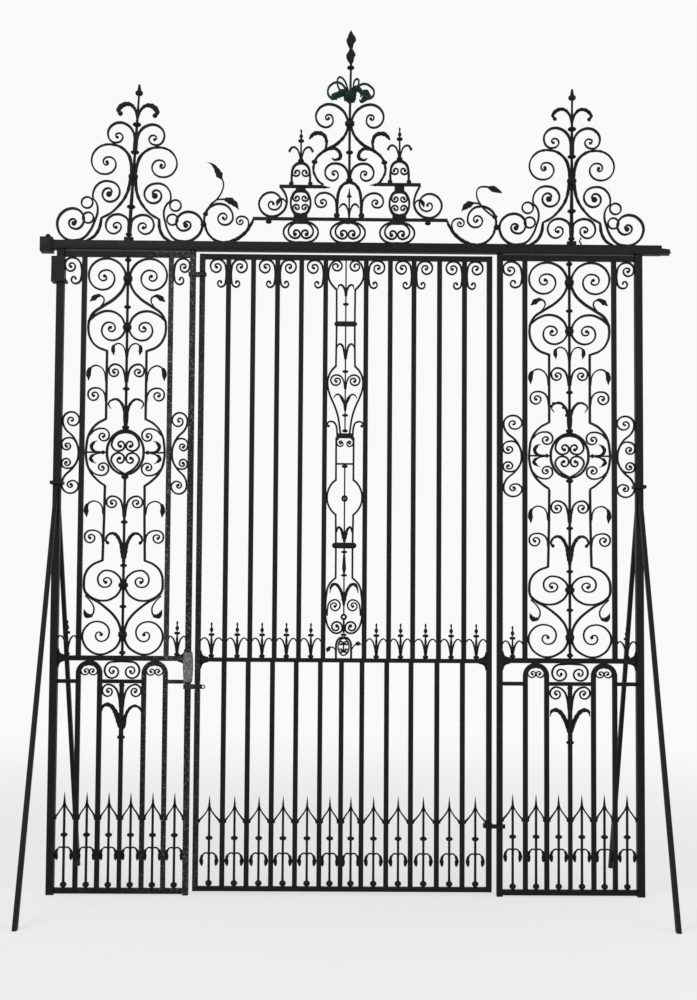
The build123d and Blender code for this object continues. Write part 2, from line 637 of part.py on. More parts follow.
def leaf_centre():
    """Tall ornament in the middle of the leaf."""
    half = (UPPER_BARS[5] - UPPER_BARS[4] - BAR_W) / 2
    xc = (UPPER_BARS[5] + UPPER_BARS[4]) / 2
    d = Drawing(xc)
    z_low, z_top = LEAF_LOCK[1], LEAF_TOP[0]
    d.patch(-3.5, 3.5, 2205, z_top + 1)
    d.patch(-3.5, 3.5, 1330, 2052)
    top = list(reversed(curl(46, 3014, 90, 1, [28, 26, 22, 19, 11, 7])))
    top += [(66, 3032), (80, 3008), (85, 2976), (80, 2944), (60, 2914), (45, 2899)]
    d.pair(top, 6, 7, 8, 8)
    d.spot(40, 3014, 6)
    d.spot(40, 3014, 6, side=-1)
    d.pair([(45, 2903), (44, 2700), (46, 2522)], 8)
    pear = [(46, 2526), (68, 2502), (83, 2466), (84, 2425), (72, 2380), (50, 2330), (34, 2280),
            (26, 2230), (22, 2198)]
    d.pair(pear, 8)
    vol = [(3, 2415), (8, 2452), (22, 2476)] + curl(44, 2455, 90, -1, [28, 26, 22, 20, 11, 7])
    d.pair(vol, 6, 7, 6, snub=6)
    d.pair([(3, 2868), (8, 2905), (22, 2922), (34, 2920), (38, 2902)], 5, 8, 9, 7, 3)
    d.pair([(3, 2560), (8, 2600), (16, 2626), (28, 2634), (40, 2622), (42, 2608)], 6, 8, 9, 9, 6, 3)
    d.pair([(3, 2310), (10, 2356), (24, 2382), (38, 2389), (52, 2378), (56, 2368)], 5, 7, 10, 12, 7, 3)
    d.pair([(38, 2196), (40, 2225), (50, 2250), (66, 2257), (82, 2252), (86, 2240)], 8, 8, 7, 6)
    d.spot(80, 2235, 7)
    d.spot(80, 2235, 7, side=-1)
    d.patch(-42, 42, 2176, 2200)
    d.pair([(42, 2180), (42, 1970)], 8)
    d.pair([(30, 2178), (40, 2160)] + curl(22, 2154, 330, -1, [17, 17, 9, 8, 5]), 6, 6, 5, snub=5)
    d.patch(-42, 42, 2048, 2056)
    bulge = [(42, 1975), (62, 1956), (80, 1920), (84, 1892), (80, 1860), (62, 1826), (42, 1806)]
    d.pair(bulge, 8)
    d.pair([(42, 1810), (40, 1660), (40, 1500)], 8)
    d.pair([(3, 1680), (8, 1722), (18, 1742), (30, 1744), (36, 1726)], 6, 8, 9, 7, 3)
    low = [(40, 1503), (58, 1488), (74, 1466), (84, 1420), (87, 1350), (82, 1290), (62, 1252),
           (38, 1239), (12, 1248), (6, 1262)]
    d.pair(low, 8)
    d.pair([(5, 1262), (14, 1284)] + curl(31, 1268, 110, -1, [23, 20, 14, 12, 7]), 7, 6, 5, snub=5)
    side_v = [(80, 1322), (78, 1352), (70, 1384)] + curl(43, 1371, 90, 1, [28, 25, 24, 20, 12, 7])
    d.pair(side_v, 7, 7, 6, snub=6)
    d.pair([(3, 1404), (14, 1444), (30, 1466), (48, 1473), (62, 1458), (66, 1434)], 6, 9, 10, 9, 6, 2)
    d.hoop(0, 1885, 10.5, 10.5, 9)
    d.hoop(0, 1317, 10.5, 10.5, 9)
    d.patch(-5, 5, 1240, 1308)
    arch = [(36, z_low - 1), (36, 1160), (33, 1196), (18, 1216), (0, 1220)]
    d.pair(arch, 9)
    for s in (-1, 1):
        for ez, q in ((1188, -1), (1162, 1)):
            d.bar([(0, 1175)] + curl(11, ez, 200, q, [11, 9, 8, 5]), 5, 5, 4, side=s, snub=4)
    d.hoop(0, 1174, 26, 40, 5)
    d.bar([(-40, 1158), (-50, 1170), (-62, 1172), (-72, 1164), (-78, 1150)], 4, 5, 6, 10, 2)
    d.bar([(38, 1160), (48, 1174), (60, 1186), (74, 1190), (84, 1188)], 4, 4, 6, 12, 2)
    cuts = [(xc - half - 40, xc - half, 1000, 3200), (xc + half, xc + half + 40, 1000, 3200)]
    cuts += [(-600, 600, z_top, z_top + 40), (-600, 600, z_low - 40, z_low)]
    beads = [knob(xc, z, 15, 6) for z in (2828, 2500, 2287, 1628, 1516)]
    beads.append(block(xc - 55, xc + 55, 2721, 2743, 24))
    beads.append(block(xc - 55, xc + 55, 1645, 1673, 28))
    beads.append(profile(xc, 1516, [(4, 6), (8, 24), (10, 34), (5, 100), (4, 106)], 16))
    beads.append(knob(xc, 2212, 14, 7))
    beads.append(knob(xc, 2040, 15, 7))
    beads.append(knob(xc, 1268, 12, 9))
    beads.append(knob(xc, 1232, 15, 6))
    keep("leaf_centre_ornament", d.shape(thick=12, cut=cuts, beads=beads))


def leaf_finials():
    lines = [AXIS_X] + list(UPPER_BARS) + [STRIKE_STILE_X]
    half = [STILE_W / 2] + [BAR_W / 2] * 10 + [STILE_W / 2]
    d = Drawing()
    tips = []
    cuts = [(-2000, 2000, LEAF_LOCK[1] - 20, LEAF_LOCK[1])]
    for i in range(len(lines) - 1):
        if i == 5:
            continue
        a = lines[i] + half[i]
        b = lines[i + 1] - half[i + 1]
        tips += finial_strokes(d, (a + b) / 2, LEAF_LOCK[1], (b - a) / 2 + 1)
        cuts.append((a - 11, a, 1100, 1300))
        cuts.append((b, b + 11, 1100, 1300))
    keep("leaf_rail_finials", d.shape(thick=10, cut=cuts, beads=tips))


# Cresting
def build_pyramid(name, xc, lean, k):
    d = Drawing(xc, k, lean, 3130)
    base = POST_TOP + LINTEL_H
    d.bar([(0, base - 1), (0, 3400), (0, 3700), (0, 3860)], 16, 12, 11, 9)
    inner = [(4, 3160), (6, 3190)] + curl(68, 3198, 150, -1, [66, 56, 43, 29, 25, 15, 8])
    d.pair(inner, 9, 9, 7, 6, snub=7)
    big = [(7, 3400), (10, 3440)] + curl(132, 3506, 190, -1, [122, 92, 76, 57, 45, 28, 16])
    d.pair(big, 10, 12, 12, 10, 8, 7, snub=7)
    small = [(5, 3560), (6, 3600)] + curl(90, 3638, 180, -1, [83, 68, 45, 30, 26, 15, 8])
    d.pair(small, 9, 10, 9, 7, 6, snub=6)
    d.pair([(5, 3470), (14, 3420), (22, 3370), (45, 3320), (90, 3268), (141, 3237)], 12, 12, 11, 9, 9)
    d.pair([(139, 3241), (146, 3190), (168, 3150), (205, base + 2)], 11, 12, 12, 9)
    leaf = [(3, 3735), (12, 3772), (34, 3799), (64, 3804), (92, 3790), (104, 3764), (92, 3744)]
    d.pair(leaf, 8, 10, 12, 14, 16, 15, 8)
    up = [(187, 3325)] + curl(111, 3360, 0, 1, [77, 56, 51, 42, 31, 22, 10])
    d.pair(up, 7, 8, 8, 7, 6, snub=11)
    out = [(186, 3330), (168, 3308), (160, 3268), (170, 3226), (190, 3176), (224, 3138), (262, 3128)]
    d.pair(out, 7, 8, 9, 9, 9)
    d.hoop(214, 3310, 27, 27, 7)
    d.hoop(214, 3310, 27, 27, 7, side=-1)
    d.hoop(204, 3238, 26, 26, 7)
    d.hoop(204, 3238, 26, 26, 7, side=-1)
    vol = [(250, 3130)] + curl(270, 3214, 280, 1, [86, 80, 63, 43, 28, 24, 14, 8])
    d.pair(vol, 9, 9, 9, 8, 7, 6, snub=6)
    beads = []
    for z, r, h in ((3296, 21, 9), (3565, 21, 8), (3702, 21, 9), (3858, 19, 12)):
        x = xc + lean * (z - 3130)
        beads.append(knob(x, z, r, h))
    x = xc + lean * (3445 - 3130)
    beads.append(block(x - 26, x + 26, 3428, 3462, 24))
    x = xc + lean * 10
    beads.append(block(x - 20, x + 20, base, base + 22, 28))
    x = xc + lean * 740
    beads.append(profile(x, 3858, [(10, 12), (9, 20), (7, 30), (5, 42), (1, 45)], 14))
    keep(name, d.shape(cut=[(xc - 500, xc + 500, base - 60, base)], beads=beads))


def build_tendril(name, s):
    """Loose scroll between a pyramid and the raised rail."""
    d = Drawing(0.0)
    base = POST_TOP + LINTEL_H
    low = [(706, 3222), (696, 3180), (668, 3145), (630, 3128), (590, 3128), (545, 3146),
           (505, 3180), (478, 3222), (472, 3240)]
    d.bar(low, 9, 9, 10, 14, 14, 10, side=s)
    v1 = [(708, 3216), (708, 3250), (694, 3286), (664, 3309), (634, 3315), (592, 3299)]
    v1 += curl(613, 3246, 180, 1, [43, 34, 29, 22, 12, 8])
    d.bar(v1, 9, 9, 8, 7, 6, side=s, snub=6)
    v2 = [(500, 3188), (494, 3228), (506, 3248)] + curl(533, 3230, 90, -1, [24, 20, 15, 12, 6])
    d.bar(v2, 6, 7, 6, 5, side=s, snub=5)
    stem = [(700, 3262), (680, 3309), (648, 3338), (622, 3384), (618, 3419), (638, 3458),
            (660, 3496), (678, 3512), (697, 3520)]
    d.bar(stem, 6, 7, 7, 6, 6, 8, 22, 10, 2, side=s)
    leaf = [(650, 3334), (622, 3338), (588, 3332), (560, 3314), (542, 3286)]
    d.bar(leaf, 5, 7, 20, 12, 2, side=s)
    beads = [knob(s * 703, 3264, 13, 9)]
    cut = [(-1000, 1000, base - 60, base), (-475, 475, 3200, 3300)]
    keep(name, d.shape(cut=cut, beads=beads))


def build_raised_rail():
    """Raised rail with the three flattened ovals that carry it."""
    base = POST_TOP + LINTEL_H
    d = Drawing()
    d.patch(-474, 464, 3237, 3252)
    for x in (-240, -12, 228):
        e = Drawing(x)
        for s in (-1, 1):
            outer = [(0, 3236), (34, 3230), (68, 3212), (84, 3182), (70, 3148), (38, 3131), (0, 3130)]
            e.bar(outer, 8, side=s)
            inner = [(0, 3230), (30, 3224), (54, 3204), (60, 3180), (50, 3160)]
            inner += curl(23, 3174, 300, -1, [24, 22, 13, 12, 7])
            e.bar(inner, 7, 7, 6, side=s, snub=5)
        e.patch(-12, 12, 3222, 3238)
        d.faces += e.faces
    beads = [knob(x, 3229, 15, 8) for x in (-396, 377)]
    beads += [block(x - 28, x + 28, 3222, 3238, 22) for x in (-240, 228)]
    keep("raised_rail", d.shape(cut=[(-1000, 1000, base - 60, base)], beads=beads))


def build_turret(name, xc, dz, s):
    """Oval, platform, little arch and finial over the raised rail."""
    d = Drawing(xc)
    z0 = 3252
    d.hoop(0, 3324, 48, 66, 9)
    for q in (-1, 1):
        pts = [(0, 3380), (26, 3374), (34, 3356)] + curl(19, 3348, 0, -1, [16, 12, 9, 8, 5])
        d.bar(pts, 6, 6, 5, side=q, snub=4)
        pts = [(0, 3268), (26, 3276), (34, 3292)] + curl(19, 3300, 0, 1, [16, 12, 9, 8, 5])
        d.bar(pts, 6, 6, 5, side=q, snub=4)
    zp = 3404 + dz
    d.patch(-34, 34, z0, 3264)
    d.patch(-24, 24, 3382, zp)
    d.patch(-104, 104, zp - 7, zp + 8)
    d.pair([(43, zp + 4), (44, zp + 60), (34, zp + 98), (14, zp + 114), (0, zp + 117)], 10, 10, 11)
    d.spot(46, zp + 15, 12)
    d.spot(46, zp + 15, 12, side=-1)
    for q in (-1, 1):
        pts = [(38, zp + 100), (44, zp + 74)] + curl(22, zp + 70, 350, -1, [20, 17, 12, 10, 5])
        d.bar(pts, 6, 6, 5, side=q, snub=5)
    d.bar([(0, zp + 112), (0, zp + 180), (0, zp + 232)], 9, 8, 7)
    for q in (-1, 1):
        arm = [(2, zp + 120), (8, zp + 160), (24, zp + 190), (42, zp + 194), (58, zp + 172)]
        d.bar(arm, 7, 7, 7, 7, 10, side=q)
    beads = [knob(xc, zp + 127, 15, 10), knob(xc, zp + 226, 15, 8), finial_tip(xc, zp + 228)]
    keep(name, d.shape(cut=[(xc - 400, xc + 400, z0 - 60, z0)], beads=beads))


def build_pediment():
    """Middle scrollwork from the raised rail up to the collar below the crown."""
    z0 = 3252
    d = Drawing(-6)
    d.bar([(0, 3432), (0, 3700), (4, 4000)], 11, 11, 9)
    d.pair([(58, z0 - 1), (58, 3330), (50, 3385), (28, 3418), (0, 3428)], 12, 11, 12)
    d.spot(60, 3264, 15)
    d.spot(60, 3264, 15, side=-1)
    side_v = [(62, 3300), (70, 3345), (98, 3370)] + curl(131, 3328, 90, -1, [46, 34, 24, 20, 12, 8])
    d.pair(side_v, 8, 8, 7, 6, snub=6)
    low_v = [(4, 3440), (8, 3474), (30, 3508)] + curl(76, 3470, 90, -1, [50, 42, 34, 20, 12, 8])
    d.pair(low_v, 9, 9, 8, 7, 6, snub=6)
    main = [(4, 3740), (8, 3702), (26, 3655), (68, 3612), (122, 3582), (158, 3550), (172, 3516),
            (174, 3478), (152, 3434), (126, 3414)]
    d.pair(main, 9, 10, 13, 14, 10, 9, 9)
    top_v = [(5, 3700), (14, 3748), (42, 3790)] + curl(106, 3744, 100, -1, [70, 60, 46, 24, 18, 12, 7])
    d.pair(top_v, 9, 10, 9, 8, 7, 6, snub=6)
    d.pair([(122, 3578), (112, 3620), (122, 3656), (148, 3670), (176, 3664), (196, 3640)],
           8, 9, 12, 15, 17, 8)
    d.pair([(110, 3586), (72, 3594), (48, 3574), (46, 3548), (70, 3538), (86, 3546)],
           8, 11, 12, 13, 14, 6)
    d.bar([(0, z0 - 1), (0, 3300), (0, 3356)], 9, 7, 7)
    for s in (-1, 1):
        d.bar([(2, 3262), (8, 3296), (26, 3320), (40, 3314), (48, 3300)], 6, 6, 7, 8, 4, side=s)
    cuts = [(-500, 500, z0 - 60, z0), (133, 160, 3417, 3428), (-160, -137, 3396, 3414)]
    beads = [knob(-6, 3438, 17, 10), knob(-6, 3575, 18, 8), knob(-3, 3996, 18, 9)]
    beads += [block(-28, 16, 3700, 3736, 24), knob(-6, 3358, 12, 6)]
    beads.append(profile(-6, 3358, [(5, 6), (6, 14), (3, 24), (3, 34), (1, 42)], 10))
    for s in (-1, 1):
        beads.append(block(-6 + s * 170 - 13, -6 + s * 170 + 13, 3516, 3538, 22))
    keep("centre_pediment", d.shape(cut=cuts, beads=beads))


def build_outer_curls(name, s, xc, top):
    """Scroll between the raised rail and the outer end of a platform."""
    z0 = 3252
    d = Drawing(xc)
    pts = [(338, top + 4), (314, 3360), (310, 3318), (334, 3274)]
    pts += curl(380, 3318, 270, 1, [63, 64, 56, 44, 28, 17, 10])
    d.bar(pts, 9, 9, 9, 8, 7, 6, side=s, snub=6)
    d.bar([(310, 3300), (318, 3334), (338, 3342), (352, 3328), (358, 3306)], 5, 6, 8, 16, 3, side=s)
    keep(name, d.shape(cut=[(-1000, 1000, z0 - 60, z0), (-1000, 1000, top, top + 40)]))


def build_crown():
    """Cluster of looped leaves round the stem, and the twisted flame."""
    d = Drawing(-4)
    for s in (-1, 1):
        d.bar([(4, 3846), (30, 3890), (62, 3908), (98, 3896), (110, 3868), (94, 3840), (70, 3848)],
              8, 8, 8, 8, 8, 10, 12, side=s)
        d.bar([(6, 3850), (14, 3900), (34, 3930), (52, 3930), (58, 3904), (40, 3872), (20, 3852)],
              8, 7, 7, 7, 7, 7, side=s)
    d.patch(-40, 34, 3834, 3872)
    keep("crown_cluster", d.shape(thick=30, cut=[(-11, 4, 3700, 4000)]))


def build_flame():
    prof = [(5, 0), (7, 12), (20, 34), (24, 52), (14, 74), (8, 88), (14, 100), (25, 124),
            (20, 146), (8, 168), (1, 178)]
    flame = profile(-2, 4005, prof, 30)
    keep("flame_finial", raise_up(flame[0], flame[1]))


# Stays and hinge ironwork
def build_stays():
    o = POST_OUTER / 2
    for nx, x in (("left", OUTER_L), ("right", OUTER_R)):
        for ny, s in (("front", -1), ("back", 1)):
            w = STAY_W / 2
            y0 = s * o
            prof = [(y0, STAY_TOP), (y0, STAY_TOP - 60), (s * (STAY_REACH - 30), 0)]
            prof += [(s * (STAY_REACH - 30 + STAY_DEEP + 12), 0)]
            line = Polyline(*prof, close=True)
            face = Face(Wire(line.edges()))
            solid = extrude(face, amount=w, both=True)
            stay = Pos(x, 0, 0) * (Rot(0, 0, 90) * (Rot(90, 0, 0) * solid))
            keep(nx + "_" + ny + "_stay", stay)
        r = o + COLLAR_WALL
        band = box(x - r, x + r, -r, r, STAY_TOP + 1, STAY_TOP + 17)
        band = band - box(x - o, x + o, -o, o, STAY_TOP - 10, STAY_TOP + 40)
        keep(nx + "_stay_collar", band)


def build_collars():
    for name, za, zb in (("top_hinge_collar", 2958, 2976), ("middle_hinge_collar", 970, 992)):
        h = POST_INNER / 2
        c = box(HANG_X - h - 6, AXIS_X, -20, 20, za, zb)
        c = c + Pos(AXIS_X, 0, (za + zb) / 2) * Cylinder(20, zb - za)
        c = c - box(HANG_X - h, HANG_X + h, -h, h, za - 5, zb + 5)
        c = c - Pos(AXIS_X, 0, (za + zb) / 2) * Cylinder(JOURNAL_R + COLLAR_GAP, zb - za + 10)
        keep(name, c)
    x = STRIKE_STILE_X
    h = STILE_W / 2
    loop = box(x - h - 14, x + h + 5, -h - 8, h + 6, 322, 342)
    loop = loop - box(x - h, x + h, -h, h, 300, 360)
    loop = loop + box(x, STRIKE_X + 24, -h - 15, -h - 7, 322, 342)
    keep("locking_loop", loop)


def build_all():
    build_posts()
    build_lintel()
    for name, side in (("left", -1), ("right", 1)):
        build_panel_lattice(name + "_panel_lattice", side)
        side_scrolls(name + "_panel_scrollwork", side)
        strip_scrolls(name + "_strip_scrolls", side)
        build_strip_finials(name + "_strip_finials", side)
        lower_scrolls(name + "_lower_scrolls", side)
        panel_dog_bars(name + "_dog_bars", side)
    build_leaf()
    leaf_top_scrolls()
    leaf_centre()
    leaf_finials()
    lines = [AXIS_X] + list(LOWER_BARS) + [STRIKE_STILE_X]
    build_dog_bars("leaf_dog_bars", lines, [STILE_W] + [BAR_W] * 11 + [STILE_W], LEAF_FOOT[1])
    build_pyramid("left_pyramid", -1073, 0.055, 1.0)
    build_pyramid("right_pyramid", 1076, 0.006, 1.0)
    build_tendril("left_tendril", -1)
    build_tendril("right_tendril", 1)
    build_raised_rail()
    build_turret("left_turret", -242, 0, -1)
    build_turret("right_turret", 238, 14, 1)
    build_pediment()
    build_outer_curls("left_outer_curl", -1, 0, 3396)
    build_outer_curls("right_outer_curl", 1, 0, 3410)
    build_crown()
    build_flame()
    build_stays()
    build_collars()


build_all()
os.makedirs("parts", exist_ok=True)
for node, shape in NODES.items():
    moved = Pos(-HANG_X, 0, 0) * shape
    moved.label = node
    export_step(moved, "parts/" + node + ".step")
print(len(NODES), "nodes")
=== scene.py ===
# Dressing for the wrought iron gate: forged scrolls, knobs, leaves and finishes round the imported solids.
import json
import math

import bmesh
import bpy
from mathutils import Matrix, Vector


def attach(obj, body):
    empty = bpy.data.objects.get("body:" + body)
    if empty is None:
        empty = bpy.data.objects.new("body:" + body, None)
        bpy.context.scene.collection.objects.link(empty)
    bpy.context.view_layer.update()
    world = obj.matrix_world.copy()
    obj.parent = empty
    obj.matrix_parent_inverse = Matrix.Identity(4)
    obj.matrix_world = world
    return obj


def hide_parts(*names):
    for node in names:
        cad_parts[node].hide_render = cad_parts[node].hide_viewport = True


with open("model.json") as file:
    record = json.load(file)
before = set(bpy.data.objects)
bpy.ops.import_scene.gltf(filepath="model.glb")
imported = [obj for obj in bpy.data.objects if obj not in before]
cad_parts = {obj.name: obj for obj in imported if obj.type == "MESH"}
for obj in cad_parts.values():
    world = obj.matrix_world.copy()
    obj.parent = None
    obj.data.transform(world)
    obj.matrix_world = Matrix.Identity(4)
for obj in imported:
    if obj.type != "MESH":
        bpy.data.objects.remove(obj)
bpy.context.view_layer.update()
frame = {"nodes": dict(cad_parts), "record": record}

# Shared drawing sizes in millimetres, from the middle of the gate
SHIFT_X = 760.0
OUTER_L = -1398.0
HANG_X = -760.0
STRIKE_X = 728.0
OUTER_R = 1400.0
POST_OUTER = 36.0
POST_INNER = 28.0
POST_TOP = 3083.0
LINTEL_H = 43.0
LINTEL_TOP = POST_TOP + LINTEL_H
RAISED_RAIL = (3237, 3252)
BAR_W = 23.0
STROKE = 8.5
STEM_L = -1074.0
STEM_R = 1065.0
BAR_OFF_L = 209.0
BAR_OFF_R = 216.0
RAIL_TOP = (3049.0, 3075.0)
RAIL_LOCK = (1102.0, 1126.0)
RAIL_FOOT = (6.0, 32.0)
AXIS_X = -714.0
STILE_W = 26.0
STRIKE_STILE_X = 677.0
LEAF_TOP = (3043.0, 3067.0)
LEAF_LOCK = (1100.0, 1120.0)
LEAF_FOOT = (20.0, 42.0)
UPPER_BARS = (-587.0, -467.0, -350.0, -234.0, -117.0, 79.0, 196.0, 311.0, 435.0, 556.0)
LOWER_BARS = (-588.0, -473.0, -357.0, -244.0, -129.0, -28.0, 70.0, 188.0, 304.0, 428.0, 550.0)
ORNAMENT_GAP = 5
GATE_MIDDLE = 0.76

# Damage and unevenness, in millimetres
SAG_CENTRE = 1660
SAG_REACH = 240
RIGHT_SAG = 18.0
RIGHT_LEAF_DROP = 14
RIGHT_FINIAL_SCALE = 0.87
LINTEL_BREAK = 1512
SLEEVE = (1000, 1146)
LEAN_FROM = 3130

BODIES = frame["record"]["behaviour"]["bodies"]
SLOT_OF = {s["node"]: s["material_slot"] for s in frame["record"]["subparts"]}


# Node-based finishes
class Shade:
    """A socket that takes part in arithmetic, so shader maths reads as an expression."""

    def __init__(self, tree, socket):
        self.tree = tree
        self.socket = socket

    def node(self, kind, settings=(), inputs=(), out=0):
        """Any node: its type, the settings made first, then values or links for its sockets."""
        n = self.tree.nodes.new(kind)
        for key, value in dict(settings).items():
            setattr(n, key, value)
        for key, value in dict(inputs).items():
            if isinstance(value, Shade):
                self.tree.links.new(value.socket, n.inputs[key])
            else:
                n.inputs[key].default_value = value
        return Shade(self.tree, n.outputs[out])

    def math(self, operation, other, swap=False):
        a, b = (other, self) if swap else (self, other)
        return self.node("ShaderNodeMath", {"operation": operation}, {0: a, 1: b})

    def __add__(self, other):
        return self.math("ADD", other)

    __radd__ = __add__

    def __sub__(self, other):
        return self.math("SUBTRACT", other)

    def __rsub__(self, other):
        return self.math("SUBTRACT", other, True)

    def __mul__(self, other):
        return self.math("MULTIPLY", other)

    __rmul__ = __mul__

    def clamp(self):
        return self.node("ShaderNodeClamp", {}, {0: self})

    def ramp(self, low, high):
        """0 below low, 1 above high, smooth between."""
        return self.node("ShaderNodeMapRange", {"interpolation_type": "SMOOTHSTEP"},
                         {0: self, 1: low, 2: high, 3: 0.0, 4: 1.0})

    def mix(self, a, b):
        """Colour a where this is 0 and b where it is 1."""
        inputs = {0: self}
        for key, value in ((6, a), (7, b)):
            inputs[key] = value if isinstance(value, Shade) else tuple(value) + (1.0,)
        return self.node("ShaderNodeMix", {"data_type": "RGBA"}, inputs, 2)


def new_material(name):
    mat = bpy.data.materials.new(name)
    mat.use_nodes = True
    tree = mat.node_tree
    bsdf = next(n for n in tree.nodes if n.type == "BSDF_PRINCIPLED")
    place = Shade(tree, None).node("ShaderNodeTexCoord", out=3)
    return mat, bsdf, place


def noise(place, scale, detail=3.0, rough=0.55):
    return place.node("ShaderNodeTexNoise", {},
                      {"Vector": place, "Scale": scale, "Detail": detail, "Roughness": rough})


def connect(bsdf, **sockets):
    for key, value in sockets.items():
        bsdf.id_data.links.new(value.socket, bsdf.inputs[key.replace("_", " ")])


def background_rays(start):
    """1 on a ray that sees the plain background: from the camera, off gloss or through glass."""
    rays = start.node("ShaderNodeLightPath").socket.node.outputs
    camera, gloss, glass = (Shade(start.tree, rays[kind])
                            for kind in ("Is Camera Ray", "Is Glossy Ray", "Is Transmission Ray"))
    return (camera + gloss + glass).clamp()


def painted_iron(name, base, rubbed, rust, rub_level, rust_level, near_hinge=False):
    """Old brushed paint over hammered bar, rubbed to grey on proud spots and rusty in places."""
    mat, bsdf, place = new_material(name)
    broad = noise(place, 5.0, 4.0)
    mottle = noise(place, 38.0, 4.0)
    grit = noise(place, 260.0, 2.0)
    dents = place.node("ShaderNodeTexVoronoi", {"feature": "SMOOTH_F1"},
                       {"Vector": place, "Scale": 62.0, "Smoothness": 0.8})
    edges = place.node("ShaderNodeNewGeometry", out=7)
    flecks = noise(place, 120.0, 3.0).ramp(0.57, 0.63)
    rub = edges.ramp(0.505, 0.56) * 0.12 + mottle.ramp(0.6, 0.8) * 0.08
    rub = rub * broad.ramp(0.36, 0.62) * rub_level + flecks * rub_level * 0.62
    if near_hinge:
        across = place.node("ShaderNodeSeparateXYZ", {}, {0: place})
        rub = rub * across.ramp(-0.34, -0.1) * (1.0 - across.ramp(0.02, 0.035) * 0.6)
    rub = rub.clamp()
    rusty = (broad.ramp(0.56, 0.7) * mottle.ramp(0.42, 0.62) * rust_level).clamp()
    paint = mottle.ramp(0.3, 0.7).mix(base, tuple(c * 1.5 for c in base))
    colour = rusty.mix(rub.mix(paint, rubbed), rust)
    height = dents * 0.55 + mottle * 0.35 + grit * 0.08
    bump = place.node("ShaderNodeBump", {}, {"Strength": 0.42, "Distance": 0.0022, "Height": height})
    bsdf.inputs["Specular IOR Level"].default_value = 0.13
    connect(bsdf, Base_Color=colour, Roughness=(mottle * 0.25 + rusty * 0.25 + 0.42).clamp(), Normal=bump,
            Metallic=(rub * 0.35).clamp())
    return mat


MATERIALS = {
    "black_iron": painted_iron("black_iron", (0.0034, 0.0035, 0.0036), (0.04, 0.04, 0.038),
                               (0.022, 0.012, 0.008), 0.22, 0.3),
    "worn_iron": painted_iron("worn_iron", (0.0036, 0.0037, 0.0038), (0.2, 0.198, 0.19),
                              (0.04, 0.025, 0.016), 0.8, 0.4, near_hinge=True),
    "dark_green_iron": painted_iron("dark_green_iron", (0.004, 0.016, 0.0135), (0.03, 0.07, 0.06),
                                    (0.02, 0.022, 0.016), 0.8, 0.3),
    "dark_brown_iron": painted_iron("dark_brown_iron", (0.009, 0.006, 0.005), (0.05, 0.032, 0.024),
                                    (0.035, 0.017, 0.011), 0.6, 1.2),
    "bare_iron": painted_iron("bare_iron", (0.1, 0.1, 0.097), (0.4, 0.4, 0.385),
                              (0.05, 0.036, 0.026), 0.9, 0.5),
}


# Forged strokes
def between(a, b, c, d, f):
    """Point of a smooth curve from b towards c."""
    m = (c - a) * 0.5
    n = (d - b) * 0.5
    return (b * (2 * f ** 3 - 3 * f ** 2 + 1) + m * (f ** 3 - 2 * f ** 2 + f)
            + c * (3 * f ** 2 - 2 * f ** 3) + n * (f ** 3 - f ** 2))


def curl(ex, ez, a0, sense, radii):
    """Points round an eye, one radius for each quarter turn from the angle a0."""
    pts = []
    steps = 3
    radii = list(radii) + [radii[-1] * 0.55]
    for q in range(len(radii) - 1):
        for k in range(steps):
            f = k / steps
            r = radii[q] * (1 - f) + radii[q + 1] * f
            a = math.radians(a0 + sense * 90 * (q + f))
            pts.append((ex + r * math.cos(a), ez + r * math.sin(a)))
    a = math.radians(a0 + sense * 90 * (len(radii) - 1))
    pts.append((ex + radii[-1] * math.cos(a), ez + radii[-1] * math.sin(a)))
    return pts


def sagging(z):
    """How much of its sag a panel shows at this height."""
    return math.exp(-((z - SAG_CENTRE) / SAG_REACH) ** 2)


class Drawing:
    """Strokes of one ornament, placed with a centre line, a spread and a lean."""

    def __init__(self, xc=0.0, spread=1.0, lean=0.0, z_ref=0.0):
        self.xc = xc
        self.spread = spread
        self.lean = lean
        self.z_ref = z_ref
        self.sag = 0.0
        self.items = []

    def put(self, p, side=1):
        out = side * self.spread * p[0]
        up = p[1] - self.z_ref
        drop = self.lean * out * min(max(up / 400, 0), 1)
        return (self.xc + out + self.lean * up, p[1] - drop - self.sag * sagging(p[1]))

    def bar(self, pts, *widths, side=1, snub=0.0):
        moved = [self.put(p, side) for p in pts]
        self.items.append(("bar", moved, widths or (STROKE,), snub, False))
        return self

    def pair(self, pts, *widths, snub=0.0):
        for side in (-1, 1):
            self.bar(pts, *widths, side=side, snub=snub)
        return self

    def spot(self, x, z, r, side=1):
        self.items.append(("spot",) + self.put((x, z), side) + (r,))
        return self

    def spots(self, x, z, r):
        return self.spot(x, z, r).spot(x, z, r, side=-1)

    def hoop(self, x, z, rx, rz, w, side=1):
        q = self.put((x, z), side)
        turn = [math.radians(30 * i) for i in range(12)]
        pts = [(q[0] + rx * math.cos(a), q[1] + rz * math.sin(a)) for a in turn]
        self.items.append(("bar", pts, (w,), 0.0, True))
        return self

    def patch(self, x0, x1, z0, z1):
        a = self.put((x0, z0))
        b = self.put((x1, z1))
        self.items.append(("block", min(a[0], b[0]), max(a[0], b[0]), z0, z1, 13.0))
        return self


def knob(x, z, r, h):
    return ("knob", x, z, r, h)


def collar(x, z, r, h):
    return ("collar", x, z, r, h)


def block(x0, x1, z0, z1, deep):
    return ("block", x0, x1, z0, z1, deep)


def profile(x, z, pairs):
    return ("turned", x, z, pairs)


